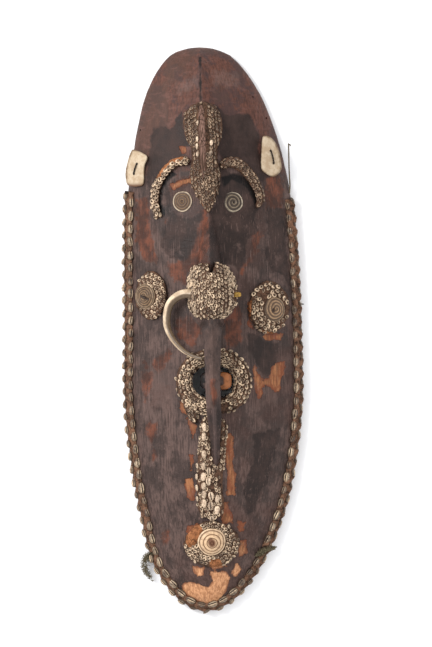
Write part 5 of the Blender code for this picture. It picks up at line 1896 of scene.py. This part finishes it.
class MASK_OT_clay_and_shells(bpy.types.Operator):
    """Lay the clay and set the shells in it"""

    bl_idname = "mask.clay_and_shells"
    bl_label = "Clay and shells"

    def execute(self, context):
        form, colours = Form(context.scene.mask_sizes), context.scene.mask_colours
        seed = context.scene.mask_stage.seed
        finish, edge = clay_finish(colours), clay_finish(colours, "worn clay of the edge", 1.24)
        clay = {
            name: make_clay(form, name, edge if name == "border_band" else finish) for name in CLAY_NODES
        }
        make_nassa_shells(form, colours, clay, seed)
        make_cowries(form, colours, clay, seed)
        return {"FINISHED"}


class MASK_OT_discs(bpy.types.Operator):
    """Make the five ground shell discs"""

    bl_idname = "mask.discs"
    bl_label = "Shell discs"

    def execute(self, context):
        make_discs(Form(context.scene.mask_sizes), context.scene.mask_colours)
        return {"FINISHED"}


class MASK_OT_tusk(bpy.types.Operator):
    """Make the tusk and the peg of the nose"""

    bl_idname = "mask.tusk"
    bl_label = "Tusk and peg"

    def execute(self, context):
        make_tusk(Form(context.scene.mask_sizes), context.scene.mask_colours)
        return {"FINISHED"}


class MASK_OT_plaques(bpy.types.Operator):
    """Make the shell plates and tie them"""

    bl_idname = "mask.plaques"
    bl_label = "Shell plates"

    def execute(self, context):
        make_plaques(Form(context.scene.mask_sizes), context.scene.mask_colours)
        return {"FINISHED"}


class MASK_OT_fibres(bpy.types.Operator):
    """Make the stick, the tufts and the cord stub"""

    bl_idname = "mask.fibres"
    bl_label = "Stick and fibre"

    def execute(self, context):
        make_fibres(Form(context.scene.mask_sizes), context.scene.mask_stage.seed)
        return {"FINISHED"}


class MASK_OT_stage(bpy.types.Operator):
    """Set the floor, the light and the camera"""

    bl_idname = "mask.stage"
    bl_label = "Stage"

    def execute(self, context):
        make_stage(context, context.scene.mask_stage)
        return {"FINISHED"}


class MASK_PT_panel(bpy.types.Panel):
    """Lists the steps and the sizes of the mask"""

    bl_label = "Mask"
    bl_space_type = "VIEW_3D"
    bl_region_type = "UI"
    bl_category = "Mask"

    def draw(self, context):
        for step in OPERATORS:
            self.layout.operator(step.bl_idname)
        for group in (context.scene.mask_sizes, context.scene.mask_colours, context.scene.mask_stage):
            box = self.layout.box()
            for name in group.__annotations__:
                box.prop(group, name)


OPERATORS = (
    MASK_OT_stage, MASK_OT_wood, MASK_OT_clay_and_shells, MASK_OT_discs, MASK_OT_tusk, MASK_OT_plaques,
    MASK_OT_fibres,
)
CLASSES = (MaskSizes, MaskColours, MaskStage, *OPERATORS, MASK_PT_panel)


def register():
    for cls in CLASSES:
        bpy.utils.register_class(cls)
    bpy.types.Scene.mask_sizes = PointerProperty(type=MaskSizes)
    bpy.types.Scene.mask_colours = PointerProperty(type=MaskColours)
    bpy.types.Scene.mask_stage = PointerProperty(type=MaskStage)


def unregister():
    del bpy.types.Scene.mask_stage
    del bpy.types.Scene.mask_colours
    del bpy.types.Scene.mask_sizes
    for cls in reversed(CLASSES):
        bpy.utils.unregister_class(cls)


def main():
    register()
    bpy.ops.mask.stage()
    bpy.ops.mask.wood()
    bpy.ops.mask.clay_and_shells()
    bpy.ops.mask.discs()
    bpy.ops.mask.tusk()
    bpy.ops.mask.plaques()
    bpy.ops.mask.fibres()


if __name__ == "__main__":
    main()
